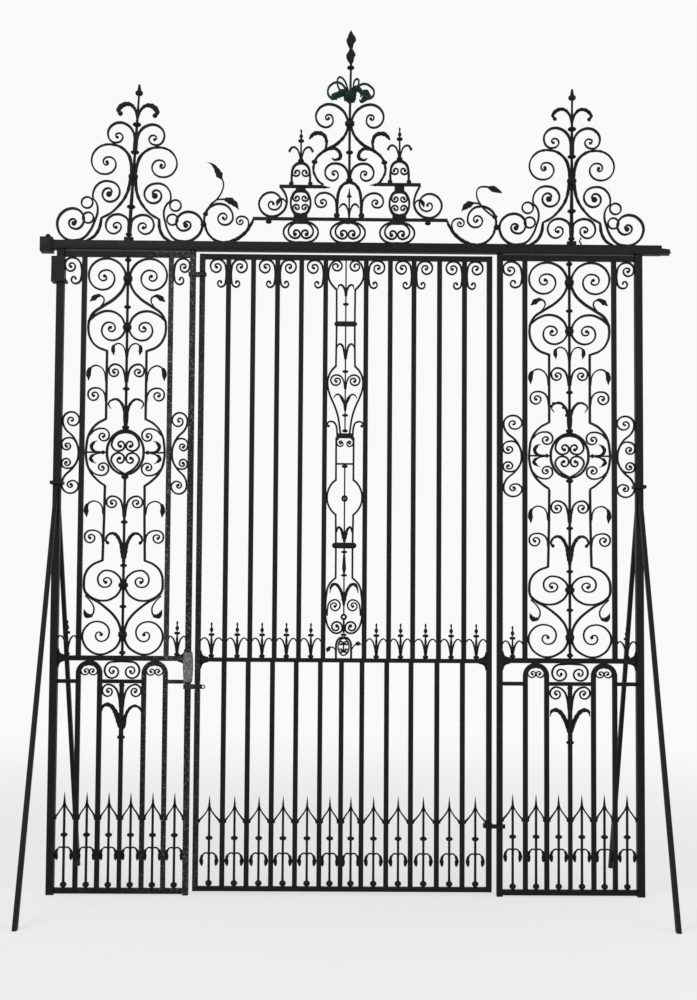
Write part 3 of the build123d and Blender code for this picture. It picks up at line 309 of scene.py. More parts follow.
def smooth_line(pts, per):
    """Points along a smooth curve through the given ones."""
    p = [Vector(q) for q in pts]
    out = [p[0]]
    for i in range(len(p) - 1):
        a = p[i - 1] if i else p[0] * 2 - p[1]
        d = p[i + 2] if i + 2 < len(p) else p[-1] * 2 - p[-2]
        out += [between(a, p[i], p[i + 1], d, k / per) for k in range(1, per + 1)]
    return [tuple(q) for q in out]


def lengths_along(pts):
    """Length of a line of points up to each of them."""
    run = [0.0]
    for a, b in zip(pts, pts[1:]):
        run.append(run[-1] + math.dist(a, b))
    return run


def width_at(widths, share):
    """Width at a share of a stroke's length, between evenly spread widths."""
    last = len(widths) - 1
    u = share * last
    k = min(int(u), max(last - 1, 0))
    return widths[k] + (widths[min(k + 1, last)] - widths[k]) * (u - k)


def section(name, corners):
    """Cross-section that is swept along the strokes."""
    cu = bpy.data.curves.new(name, "CURVE")
    cu.dimensions = "2D"
    line = cu.splines.new("POLY")
    line.points.add(len(corners) - 1)
    for p, (x, y) in zip(line.points, corners):
        p.co = (x, y, 0.0, 1.0)
    line.use_cyclic_u = True
    return bpy.data.objects.new(name, cu)


FULLNESS = 1.16
LEAF_FULLNESS = 1.35
FLAT_BAR = ((-0.5, -0.55), (-0.36, -0.74), (0.36, -0.74), (0.5, -0.55),
            (0.5, 0.55), (0.36, 0.74), (-0.36, 0.74), (-0.5, 0.55))
LEAF_SHEET = ((-0.5, 0.02), (-0.3, -0.2), (-0.08, -0.16), (0.0, -0.26), (0.08, -0.16), (0.3, -0.2),
              (0.5, 0.02), (0.3, 0.02), (0.0, 0.1), (-0.3, 0.02))


def sweep(strokes, corners, deep):
    """Mesh of all strokes, each a smooth line swept with the section and held to a depth."""
    profile_ob = section("section", corners)
    cu = bpy.data.curves.new("strokes", "CURVE")
    cu.dimensions = "2D"
    cu.fill_mode = "NONE"
    cu.bevel_mode = "OBJECT"
    cu.bevel_object = profile_ob
    cu.use_fill_caps = True
    for pts, widths, closed in strokes:
        run = lengths_along(pts)
        line = cu.splines.new("BEZIER")
        line.bezier_points.add(len(pts) - 1)
        line.resolution_u = 4
        line.use_cyclic_u = closed
        for p, (x, z), s in zip(line.bezier_points, pts, run):
            p.co = (x, z, 0.0)
            p.handle_left_type = p.handle_right_type = "AUTO"
            p.radius = width_at(widths, s / run[-1])
    ob = bpy.data.objects.new("strokes", cu)
    bpy.context.scene.collection.objects.link(ob)
    bpy.context.view_layer.update()
    mesh = bpy.data.meshes.new_from_object(ob.evaluated_get(bpy.context.evaluated_depsgraph_get()))
    for v in mesh.vertices:
        v.co.z = max(-deep / 2, min(deep / 2, v.co.z))
    mesh.transform(Matrix.Rotation(math.pi / 2, 4, "X"))
    bpy.data.objects.remove(ob)
    bpy.data.objects.remove(profile_ob)
    return mesh


def add_mesh(bm, mesh):
    """Add a mesh to a piece and let the mesh go."""
    bm.from_mesh(mesh)
    bpy.data.meshes.remove(mesh)


def add_part(bm, part):
    """Add a bmesh to a piece and let it go."""
    mesh = bpy.data.meshes.new("part")
    part.to_mesh(mesh)
    part.free()
    add_mesh(bm, mesh)


def add_ball(bm, x, z, r, deep):
    place = Matrix.Translation((x, 0, z)) @ Matrix.Diagonal((1, deep / (2 * r), 1, 1))
    bmesh.ops.create_uvsphere(bm, u_segments=12, v_segments=8, radius=r, matrix=place)


def add_block(bm, x0, x1, z0, z1, deep, soft=1.6):
    size = Matrix.Diagonal((x1 - x0, deep, z1 - z0, 1))
    place = Matrix.Translation(((x0 + x1) / 2, 0, (z0 + z1) / 2))
    made = bmesh.ops.create_cube(bm, size=1.0, matrix=place @ size)
    edges = {e for v in made["verts"] for e in v.link_edges}
    soft = min(soft, (z1 - z0) / 4, (x1 - x0) / 4)
    bmesh.ops.bevel(bm, geom=list(edges), offset=soft, segments=2, profile=0.5, affect="EDGES", material=-1)


def add_turned(bm, x, z, pairs, steps=18):
    """Round moulding from radius and height pairs, closed at both ends."""
    part = bmesh.new()
    chain = [(0.0, pairs[0][1])] + list(pairs) + [(0.0, pairs[-1][1])]
    verts = [part.verts.new((r, 0, h)) for r, h in chain]
    edges = [part.edges.new(e) for e in zip(verts, verts[1:])]
    bmesh.ops.spin(part, geom=verts + edges, cent=(0, 0, 0), axis=(0, 0, 1), angle=2 * math.pi,
                   steps=steps, use_merge=True)
    bmesh.ops.remove_doubles(part, verts=part.verts, dist=0.01)
    bmesh.ops.recalc_face_normals(part, faces=part.faces)
    bmesh.ops.translate(part, verts=part.verts, vec=(x, 0, z))
    add_part(bm, part)


def add_flame(bm, pairs):
    """Twisted finial: a round form pressed to three lobes and wrung about its stem."""
    part = bmesh.new()
    add_turned(part, 0, 0, pairs, 24)
    bmesh.ops.subdivide_edges(part, edges=part.edges, cuts=1, use_grid_fill=True)
    for v in part.verts:
        a = math.atan2(v.co.y, v.co.x)
        r = math.hypot(v.co.x, v.co.y) * (0.86 + 0.22 * math.cos(3 * (a - v.co.z * 0.03)))
        v.co.x, v.co.y = r * math.cos(a), r * math.sin(a)
    bmesh.ops.translate(part, verts=part.verts, vec=(-2, 0, 4005))
    add_part(bm, part)


BARREL = ((0.42, -1.0), (0.62, -0.97), (0.66, -0.8), (0.58, -0.7), (0.9, -0.45), (1.0, -0.12), (1.0, 0.12),
          (0.9, 0.45), (0.58, 0.7), (0.66, 0.8), (0.62, 0.97), (0.42, 1.0))


def knob_profile(r, h):
    return [(r * 0.45, -h * 1.05), (r * 0.8, -h * 0.75), (r, -h * 0.25), (r, h * 0.25), (r * 0.8, h * 0.75),
            (r * 0.45, h * 1.05)]


def piece_from(bm, name, node, finish=None):
    """Turn a finished bmesh in drawing millimetres into a piece that stands for the node's look."""
    mesh = bpy.data.meshes.new(name)
    bmesh.ops.translate(bm, verts=bm.verts, vec=(SHIFT_X, 0, 0))
    bmesh.ops.scale(bm, verts=bm.verts, vec=(0.001, 0.001, 0.001))
    bm.to_mesh(mesh)
    bm.free()
    mesh.shade_smooth()
    mesh.set_sharp_from_angle(angle=math.radians(38))
    ob = bpy.data.objects.new(name, mesh)
    bpy.context.scene.collection.objects.link(ob)
    mesh.materials.append(MATERIALS[finish or SLOT_OF[node]])
    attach(ob, next(b for b, nodes in BODIES.items() if node in nodes))
    return ob


def leaf_blades(pts, widths):
    """Broad cupped blade with a few lobes along the part of a stroke that opens into a leaf."""
    line = smooth_line(pts, 4)
    run = lengths_along(line)
    blade = []
    spread = []
    for i, (p, r) in enumerate(zip(line, run)):
        w = width_at(widths, r / run[-1])
        if w > 8.0 or (spread and i == len(line) - 1):
            lobe = 1.0 + 0.16 * math.cos(i * 2.1)
            blade.append(p)
            spread.append(w * LEAF_FULLNESS * lobe)
        elif spread:
            blade.append(p)
            spread.append(max(w, 2.0))
    if len(blade) < 3:
        return []
    spread[0] *= 0.6
    spread[-1] = min(spread[-1], 4.0)
    return [(blade, spread, False)]


def forge(node, items, deep=14.0, extra=None):
    """Forged piece in place of a node: swept bars, leaves, beads, knobs and blocks."""
    bars = []
    leaves = []
    bm = bmesh.new()
    for it in items:
        if it[0] == "bar":
            pts, widths, snub, closed = it[1:]
            if len(widths) > 2 and max(widths) > 11.5 and not closed:
                bars.append((pts, [min(w * 1.1, 8.0) for w in widths[:-1]] + [widths[-1]], False))
                leaves += leaf_blades(pts, widths)
            else:
                bars.append((pts, [w * FULLNESS for w in widths], closed))
            if snub:
                add_ball(bm, pts[-1][0], pts[-1][1], snub * 1.25, deep * 1.1)
        elif it[0] == "spot":
            add_ball(bm, it[1], it[2], it[3], deep * 1.1)
        elif it[0] == "knob":
            add_turned(bm, it[1], it[2], knob_profile(it[3], it[4]))
        elif it[0] == "collar":
            add_turned(bm, it[1], it[2], [(r * it[3], h * it[4]) for r, h in BARREL])
        elif it[0] == "turned":
            add_turned(bm, it[1], it[2], it[3])
        else:
            add_block(bm, *it[1:])
    for strokes, corners, thick in ((bars, FLAT_BAR, deep), (leaves, LEAF_SHEET, deep * 1.6)):
        if strokes:
            add_mesh(bm, sweep(strokes, corners, thick))
    if extra:
        extra(bm)
    ob = piece_from(bm, node + "_forged", node)
    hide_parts(node)


def panel_layout(side):
    """Post faces, bar lines and strip limits of one side panel."""
    if side < 0:
        return dict(stem=STEM_L, off=BAR_OFF_L, near=HANG_X, far=OUTER_L)
    return dict(stem=STEM_R, off=BAR_OFF_R, near=STRIKE_X, far=OUTER_R)


def strip_sides(side):
    """For each strip of a panel: which side it is on, its bar's centre line and its post's face."""
    p = panel_layout(side)
    for s in (-1, 1):
        if s == side:
            post = p["far"] - side * POST_OUTER / 2
        else:
            post = p["near"] + side * POST_INNER / 2
        yield s, p["stem"] + s * p["off"], post


def side_scrolls(name, side):
    """Tall scrollwork between the two inner bars of a side panel."""
    p = panel_layout(side)
    k = (p["off"] - BAR_W / 2) / 197.5
    d = Drawing(p["stem"], k)
    z_top, z_low = RAIL_TOP[0], RAIL_LOCK[1]
    sag = RIGHT_SAG if side > 0 else 0.0
    d.patch(-6, 6, z_low - 1, 1994)
    d.patch(-6, 6, 2205, z_top + 1)
    top = [(187, 2728), (166, 2772), (118, 2808), (60, 2848), (20, 2898)]
    top += curl(113, 2951, 180, -1, [104, 90, 75, 62, 48, 33, 27, 17, 9])
    d.pair(top, 10, 11, 9, 8, 7, 6, snub=7)
    second = [(184, 2738), (144, 2770), (90, 2785), (35, 2762), (12, 2722)]
    second += curl(81, 2700, 180, 1, [72, 57, 40, 29, 23, 14, 9])
    d.pair(second, 9, 9, 8, 7, 6, snub=7)
    d.pair([(184, 2740), (187, 2697), (177, 2653), (148, 2614), (95, 2590)], 9)
    d.pair([(95, 2594), (95, 2430), (95, 2258)], 9.5)
    d.pair([(95, 2261), (138, 2236), (174, 2188), (187, 2127), (187, 2070), (168, 2008),
            (128, 1962), (95, 1938)], 9)
    d.sag = sag
    d.pair([(95, 1941), (97, 1760), (101, 1577)], 9.5)
    low = [(101, 1580), (150, 1557), (180, 1520), (188, 1473), (182, 1430), (155, 1401),
           (118, 1380), (78, 1350), (40, 1313), (16, 1272), (9, 1226), (20, 1180), (58, 1145)]
    low += curl(107, 1226, 270, 1, [95, 84, 60, 42, 32, 20, 10])
    d.pair(low, 9, 9.5, 10, 9, 8, 7, 6, snub=7)
    tail = [(180, 1428), (150, 1402), (95, 1387), (45, 1402), (14, 1438), (9, 1468), (22, 1505)]
    tail += curl(84, 1480, 90, -1, [52, 37, 28, 27, 16, 9])
    d.pair(tail, 8, 9, 8, 7, 6, snub=7)
    # bud tendrils off the outer contour
    d.pair([(183, 2745), (152, 2783), (123, 2815), (113, 2838), (123, 2856), (147, 2858), (182, 2831)],
           5, 5, 5, 6, 7, 22, 2)
    d.pair([(182, 1412), (150, 1377), (138, 1345), (150, 1317), (174, 1318), (186, 1345)],
           5, 6, 6, 8, 19, 3)
    # leaves off the stem
    d.pair([(4, 2560), (10, 2598), (26, 2622), (48, 2626), (66, 2608), (62, 2568)],
           5, 6, 6, 6, 17, 2)
    d.pair([(4, 2225), (5, 2290), (18, 2330), (40, 2354), (64, 2354), (84, 2335), (72, 2310)],
           9, 13, 15, 13, 10, 8, 4)
    if side > 0:
        for x, z, r in ((-74, 2352, 9), (-50, 2356, 8), (-84, 2340, 8), (-28, 2334, 8), (-14, 2296, 8)):
            d.spot(x, z, r)
    rolled = [(4, 1570), (8, 1622), (16, 1664), (34, 1698), (56, 1710), (78, 1700), (87, 1678), (78, 1664)]
    d.sag = 0.0
    d.pair(rolled, 6, 11, 14, 14, 13, 13, 9, 8, snub=7)
    d.sag = sag
    # inner volutes off the stem
    up = [(4, 2440), (10, 2480), (24, 2512)] + curl(59, 2489, 90, -1, [37, 25, 22, 20, 12, 7])
    d.pair(up, 8, 8, 7, 6, snub=6)
    dn = [(4, 1790), (10, 1840), (24, 1874)] + curl(60, 1856, 90, -1, [32, 26, 22, 21, 12, 7])
    d.pair(dn, 8, 8, 7, 6, snub=6)
    # leaf sprays and volutes off the side rails
    d.pair([(99, 2440), (108, 2492), (130, 2515), (156, 2518), (180, 2494), (182, 2445)],
           6, 6, 6, 7, 21, 2)
    d.pair([(102, 1800), (112, 1846), (135, 1862), (158, 1862), (182, 1838), (180, 1786)],
           6, 6, 6, 7, 21, 2)
    ov = [(98, 2345), (104, 2382), (122, 2404)] + curl(156, 2376, 90, -1, [34, 27, 26, 22, 12, 7])
    d.pair(ov, 7, 7, 6, snub=6)
    d.sag = 0.0
    ow = [(101, 1660), (108, 1700), (126, 1718)] + curl(162, 1690, 90, -1, [33, 26, 26, 22, 12, 7])
    d.pair(ow, 7, 7, 6, snub=6)
    # roundel with two kidney scrolls
    d.hoop(0, 2099.5, 88 * k, 106, 10)
    for s in (-1, 1):
        heart = [(0, 2196), (36, 2187), (58, 2164), (66, 2138)]
        heart += curl(24, 2134, 0, -1, [42, 26, 20, 18, 10])
        d.bar(heart, 7, 8, 7, side=s, snub=7)
        heart = [(3, 1997), (40, 2020), (62, 2048)]
        heart += curl(27, 2066, 0, 1, [40, 30, 22, 18, 10])
        d.bar(heart, 7, 8, 7, side=s, snub=7)
    # lens scrolls beside the roundel
    for s in (-1, 1):
        ln = [(172, 2182), (148, 2206)] + curl(107, 2178, 90, 1, [36, 28, 23, 19, 12, 7])
        d.bar(ln, 7, 7, 6, side=s, snub=6)
        ln = [(170, 2018), (148, 1997)] + curl(108, 2025, 270, -1, [37, 28, 22, 19, 12, 7])
        d.bar(ln, 7, 7, 6, side=s, snub=6)
        d.bar([(92, 2099), (186, 2099)], 7, side=s)
        d.bar([(112, 2101), (152, 2108), (163, 2128), (150, 2148), (133, 2155)], 5, 7, 12, 14, 2, side=s)
        d.bar([(112, 2097), (154, 2085), (166, 2068), (152, 2052), (138, 2044)], 5, 7, 10, 14, 2, side=s)
        d.spot(107, 2099, 10, side=s)
    x = p["stem"]
    beads = [knob(x, z, 17, 8) for z in (2805, 2407, 1764, 1556, 1360)]
    beads += [knob(x, z, 18, 10) for z in (2220, 1981)]
    beads += [knob(x, z, 16, 9) for z in (3035, 1140)]
    for z, hx, hz in ((2944, 23, 28), (2706, 22, 22), (1462, 24, 20), (1226, 22, 26)):
        beads.append(collar(x, z, hx, hz))
    beads = [(kind, bx, z - sag * sagging(z), hx, hz) for kind, bx, z, hx, hz in beads]
    forge(name, d.items + beads)


def strip_scrolls(name, side):
    """Narrow strips: a C scroll at the top and a scroll group at mid height."""
    items = []
    for s, bar_x, post in strip_sides(side):
        width = abs(post - bar_x)
        k = (width - 12) / 84.0
        base = bar_x + s * 12 * (1 - k)
        d = Drawing(base, k)
        small = curl(48, 2942, 180, 1, [31, 24, 14, 9])
        big = curl(66, 3004, 180, -1, [49, 40, 27, 26, 20, 13, 8])
        d.bar(list(reversed(small)) + big, 6, 8, 8, 7, 6, side=s, snub=6)
        d.spot(small[-1][0], small[-1][1], 6, side=s)
        t = curl(50, 2254, 0, 1, [42, 39, 36, 26, 18, 12, 7])
        b = curl(49, 1940, 0, -1, [43, 39, 35, 20, 16, 10, 7])
        mid = [(80, 2212), (42, 2174), (21, 2132), (15.5, 2096), (21, 2058), (44, 2020), (82, 1980)]
        d.bar(list(reversed(t)) + mid + b, 6, 7, 8, 8, 8, 7, 6, side=s, snub=6)
        d.spot(t[-1][0], t[-1][1], 6, side=s)
        br = [(28, 2148), (42, 2164)] + curl(72, 2130, 90, -1, [37, 22, 20, 18, 11, 7])
        d.bar(br, 7, 7, 6, side=s, snub=6)
        br = [(28, 2044), (42, 2027)] + curl(72, 2046, 270, 1, [25, 22, 22, 18, 11, 7])
        d.bar(br, 7, 7, 6, side=s, snub=6)
        items += d.items
    forge(name, items)


def finial_strokes(d, xc, zb, reach, tall=1.0):
    """Small spear with two curled arms standing on a rail."""
    e = Drawing(xc)
    neck = zb + 112 * tall
    top = zb + 93 * tall
    e.bar([(0, zb - 1), (0, zb + 50), (0, neck)], 12, 9, 7)
    for s in (-1, 1):
        pts = [(2, zb + 20), (9, zb + 58 * tall), (24, top - 4), (36, top), (reach, top - 14)]
        e.bar(pts, 9, 8, 7, 6, 5, side=s)
    d.items += e.items
    return [knob(xc, neck - 3, 15, 7), knob(xc, zb + 8, 14, 8), finial_tip(xc, neck)]


def finial_tip(x, z):
    """Two beads and a point."""
    prof = [(4, 6), (4, 10), (9, 17), (9, 24), (4, 31), (3, 38), (5, 44), (5, 49), (1.5, 56)]
    return profile(x, z, prof)


def build_strip_finials(name, side):
    d = Drawing()
    tips = []
    tall = RIGHT_FINIAL_SCALE if side > 0 else 1.0
    for s, bar_x, post in strip_sides(side):
        edge = bar_x + s * BAR_W / 2
        tips += finial_strokes(d, (edge + post) / 2, RAIL_LOCK[1], abs(post - edge) / 2 + 1, tall)
    forge(name, d.items + tips, deep=10)


def knee_strokes(x, out, rail):
    """Small curved knees that brace a rail against an upright, above and below."""
    d = Drawing(x)
    for z, up in ((rail[1] - 1, 1), (rail[0] + 1, -1)):
        d.bar([(0, z + up * 34), (3, z + up * 16), (9, z + up * 8), (18, z + up * 3), (36, z)],
              7, 9.5, 9.5, 9.5, 7, side=out)
        d.bar([(0, z + up * 20), (2, z + up * 2), (20, z)], 8, 10, 8, side=out)
    return d.items


def lower_scrolls(name, side):
    """Scrolls hung between the lock rail and the lower rail, and under it."""
    p = panel_layout(side)
    k = (p["off"] - BAR_W / 2) / 197.5
    d = Drawing(p["stem"], k)
    arch_c = p["off"] - 53
    down = 0 if side < 0 else RIGHT_LEAF_DROP
    for s in (-1, 1):
        e = Drawing(p["stem"] + s * arch_c)
        for q in (-1, 1):
            e.bar([(0, 1084), (12, 1080)] + curl(17, 1052, 80, -1, [27, 22, 17, 15, 9, 6]),
                  7, 6, 5, side=q, snub=5)
        d.items += e.items
    for s in (-1, 1):
        pts = [(0, 1099), (32, 1097)] + curl(44, 1050, 70, -1, [46, 36, 29, 26, 22, 13, 7])
        d.bar(pts, 8, 8, 7, 6, side=s, snub=6)
        pts = [(7, 880), (14, 935), (30, 972)] + curl(64, 958, 90, -1, [31, 28, 25, 18, 12, 7])
        d.bar(pts, 8, 8, 7, 6, side=s, snub=6)
        if side < 0 < s:
            leaf = [(4, 768), (14, 800), (20, 840), (36, 872), (60, 888), (84, 880), (97, 858)]
            d.bar(leaf, 8, 15, 13, 12, 11, 10, 7, side=s)
        else:
            leaf = [(4, 768), (12, 816), (26, 854), (46, 884), (68, 894), (86, 886), (92, 862)]
            leaf = [(x, z - down) for x, z in leaf]
            d.bar(leaf, 8, *((12, 16, 16) if down else (15, 21, 20)), 16, 15, 3, side=s)
    near, far = p["near"] + side * POST_INNER / 2, p["far"] - side * POST_OUTER / 2
    knees = knee_strokes(near, side, RAIL_LOCK) + knee_strokes(far, -side, RAIL_LOCK)
    forge(name, d.items + knees + [knob(p["stem"], 740 - down, 19, 9), knob(p["stem"], 985, 14, 8)])


def dog_strokes(d, xc, half, base):
    """Low spear between two bars, with wings, a garland and a knob."""
    e = Drawing(xc)
    lift = 0 if base == LEAF_FOOT[1] else 12
    top = 459 + lift
    e.bar([(0, base - 1), (0, base + 120), (0, top - 40)], 10, 9, 9)
    e.bar([(0, top - 60), (0, top - 38), (0, top - 16), (0, top + 9)], 7, 9, 5, 1.2)
    for s in (-1, 1):
        wing = [(1, top - 38), (11, top - 64), (28, top - 88), (half + 2, top - 114)]
        e.bar(wing, 5, 5.5, 6, 9, side=s)
        e.spot(half, top - 114, 8, side=s)
        arm = [(0, 192 + 2 * lift), (14, 198 + 2 * lift), (28, 190 + 2 * lift)]
        arm += [(36, 170 + 2 * lift), (33, 136 + 2 * lift)]
        e.bar(arm, 6, 6, 11, 16, 3, side=s)
    d.items += e.items
    return [knob(xc, 268 + lift, 17, 9), knob(xc, base + 15, 16, 12)]


def build_dog_bars(name, lines, widths, base):
    d = Drawing()
    beads = []
    for i in range(len(lines) - 1):
        a = lines[i] + widths[i] / 2
        b = lines[i + 1] - widths[i + 1] / 2
        beads += dog_strokes(d, (a + b) / 2, (b - a) / 2, base)
    forge(name, d.items + beads, deep=10)


def panel_dog_bars(name, side):
    p = panel_layout(side)
    arch_c = p["off"] - 53
    lines = [p["stem"] - arch_c - 51, p["stem"] - arch_c + 51, p["stem"]]
    lines += [p["stem"] + arch_c - 51, p["stem"] + arch_c + 51]
    widths = [BAR_W, BAR_W, 20.0, BAR_W, BAR_W]
    if side < 0:
        lines = [p["far"]] + lines + [p["near"]]
        widths = [POST_OUTER] + widths + [POST_INNER]
    else:
        lines = [p["near"]] + lines + [p["far"]]
        widths = [POST_INNER] + widths + [POST_OUTER]
    build_dog_bars(name, lines, widths, RAIL_FOOT[1])


def leaf_gaps():
    """Number, left edge and right edge of each upper gap of the leaf but the ornament's."""
    lines = [AXIS_X] + list(UPPER_BARS) + [STRIKE_STILE_X]
    half = [STILE_W / 2] + [BAR_W / 2] * 10 + [STILE_W / 2]
    for i in range(len(lines) - 1):
        if i != ORNAMENT_GAP:
            yield i, lines[i] + half[i], lines[i + 1] - half[i + 1]


def leaf_top_scrolls():
    d = Drawing()
    for i, a, b in leaf_gaps():
        right_spine = (i % 2 == 0) if i < ORNAMENT_GAP else (i % 2 == 1)
        s = -1 if right_spine else 1
        e = Drawing(b if right_spine else a)
        small = curl(28, 2930, 180, 1, [24, 22, 12, 7])
        big = curl(47, 3008, 180, -1, [43, 34, 30, 29, 20, 12, 8])
        e.bar(list(reversed(small)) + big, 6, 8, 8, 7, 6, side=s, snub=6)
        e.spot(small[-1][0], small[-1][1], 6, side=s)
        d.items += e.items
    forge("leaf_top_scrolls", d.items)


def leaf_centre():
    """Tall ornament in the middle of the leaf."""
    xc = (UPPER_BARS[5] + UPPER_BARS[4]) / 2
    d = Drawing(xc)
    z_low, z_top = LEAF_LOCK[1], LEAF_TOP[0]
    d.patch(-3.5, 3.5, 2205, z_top + 1)
    d.patch(-3.5, 3.5, 1330, 2052)
    top = list(reversed(curl(46, 3014, 90, 1, [28, 26, 22, 19, 11, 7])))
    top += [(66, 3032), (80, 3008), (85, 2976), (80, 2944), (60, 2914), (45, 2899)]
    d.pair(top, 6, 7, 8, 8)
    d.spots(40, 3014, 6)
    d.pair([(45, 2903), (44, 2700), (46, 2522)], 8)
    pear = [(46, 2526), (68, 2502), (83, 2466), (84, 2425), (72, 2380), (50, 2330), (34, 2280),
            (26, 2230), (22, 2198)]
    d.pair(pear, 8)
    vol = [(3, 2415), (8, 2452), (22, 2476)] + curl(44, 2455, 90, -1, [28, 26, 22, 20, 11, 7])
    d.pair(vol, 6, 7, 6, snub=6)
    d.pair([(3, 2868), (8, 2905), (22, 2922), (34, 2920), (38, 2902)], 5, 8, 9, 7, 3)
    d.pair([(3, 2560), (8, 2600), (16, 2626), (28, 2634), (40, 2622), (42, 2608)], 6, 8, 9, 9, 6, 3)
    d.pair([(3, 2310), (10, 2356), (24, 2382), (38, 2389), (52, 2378), (56, 2368)], 5, 7, 10, 12, 7, 3)
    d.pair([(38, 2196), (40, 2225), (50, 2250), (66, 2257), (82, 2252), (86, 2240)], 8, 8, 7, 6)
    d.spots(80, 2235, 7)
    d.patch(-42, 42, 2176, 2200)
    d.pair([(42, 2180), (42, 1970)], 8)
    d.pair([(30, 2178), (40, 2160)] + curl(22, 2154, 330, -1, [17, 17, 9, 8, 5]), 6, 6, 5, snub=5)
    d.patch(-42, 42, 2048, 2056)
    bulge = [(42, 1975), (62, 1956), (80, 1920), (84, 1892), (80, 1860), (62, 1826), (42, 1806)]
    d.pair(bulge, 8)
    d.pair([(42, 1810), (40, 1660), (40, 1500)], 8)
    d.pair([(3, 1676), (8, 1716), (18, 1741), (30, 1745), (36, 1722)], 7, 10, 12, 9, 4)
    low = [(40, 1503), (58, 1488), (74, 1466), (84, 1420), (87, 1350), (82, 1290), (62, 1252),
           (38, 1239), (12, 1248), (6, 1262)]
    d.pair(low, 8)
    d.pair([(5, 1254), (13, 1284)] + curl(35, 1268, 110, -1, [26, 23, 17, 12]), 8, 8, 7, snub=7)
    side_v = [(80, 1322), (78, 1352), (70, 1384)] + curl(43, 1371, 90, 1, [28, 25, 24, 20, 12, 7])
    d.pair(side_v, 7, 7, 6, snub=6)
    d.pair([(2, 1372), (8, 1424), (26, 1462), (46, 1474), (62, 1460), (68, 1430)], 8, 11, 12, 11, 11, 3)
    d.hoop(0, 1885, 10.5, 10.5, 9)
    d.hoop(0, 1317, 10.5, 10.5, 9)
    d.patch(-5, 5, 1240, 1308)
    arch = [(36, z_low - 1), (36, 1160), (33, 1196), (18, 1216), (0, 1220)]
    d.pair(arch, 9)
    for s in (-1, 1):
        for ez, q in ((1189, -1), (1158, 1)):
            d.bar([(0, 1174)] + curl(12, ez, 200, q, [12, 11, 9, 6]), 6, 6, 5, side=s, snub=5)
    d.hoop(0, 1174, 26, 40, 6)
    d.bar([(-36, 1152), (-48, 1170), (-62, 1172), (-72, 1164), (-80, 1148)], 5, 5, 7, 17, 2)
    d.bar([(36, 1154), (46, 1174), (58, 1186), (72, 1190), (86, 1186)], 5, 5, 6, 17, 2)
    beads = [knob(xc, z, 15, 6) for z in (2828, 2500, 2287, 1628, 1516)]
    for z, h in ((2732, 11), (1659, 14)):
        beads.append(block(xc - 45, xc + 45, z - h, z + h, 24))
        beads += [("spot", xc + q * 45, z, h) for q in (-1, 1)]
    beads.append(profile(xc, 1516, [(4, 6), (8, 24), (10, 34), (5, 100), (4, 106)]))
    beads.append(knob(xc, 2212, 14, 7))
    beads.append(knob(xc, 2040, 15, 7))
    beads.append(knob(xc, 1268, 12, 9))
    beads.append(knob(xc, 1232, 15, 6))
    forge("leaf_centre_ornament", d.items + beads, deep=12)


def leaf_finials():
    d = Drawing()
    tips = []
    for _, a, b in leaf_gaps():
        tips += finial_strokes(d, (a + b) / 2, LEAF_LOCK[1], (b - a) / 2 + 1)
    d.items += knee_strokes(AXIS_X + STILE_W / 2, 1, LEAF_LOCK)
    d.items += knee_strokes(STRIKE_STILE_X - STILE_W / 2, -1, LEAF_LOCK)
    forge("leaf_rail_finials", d.items + tips, deep=10)


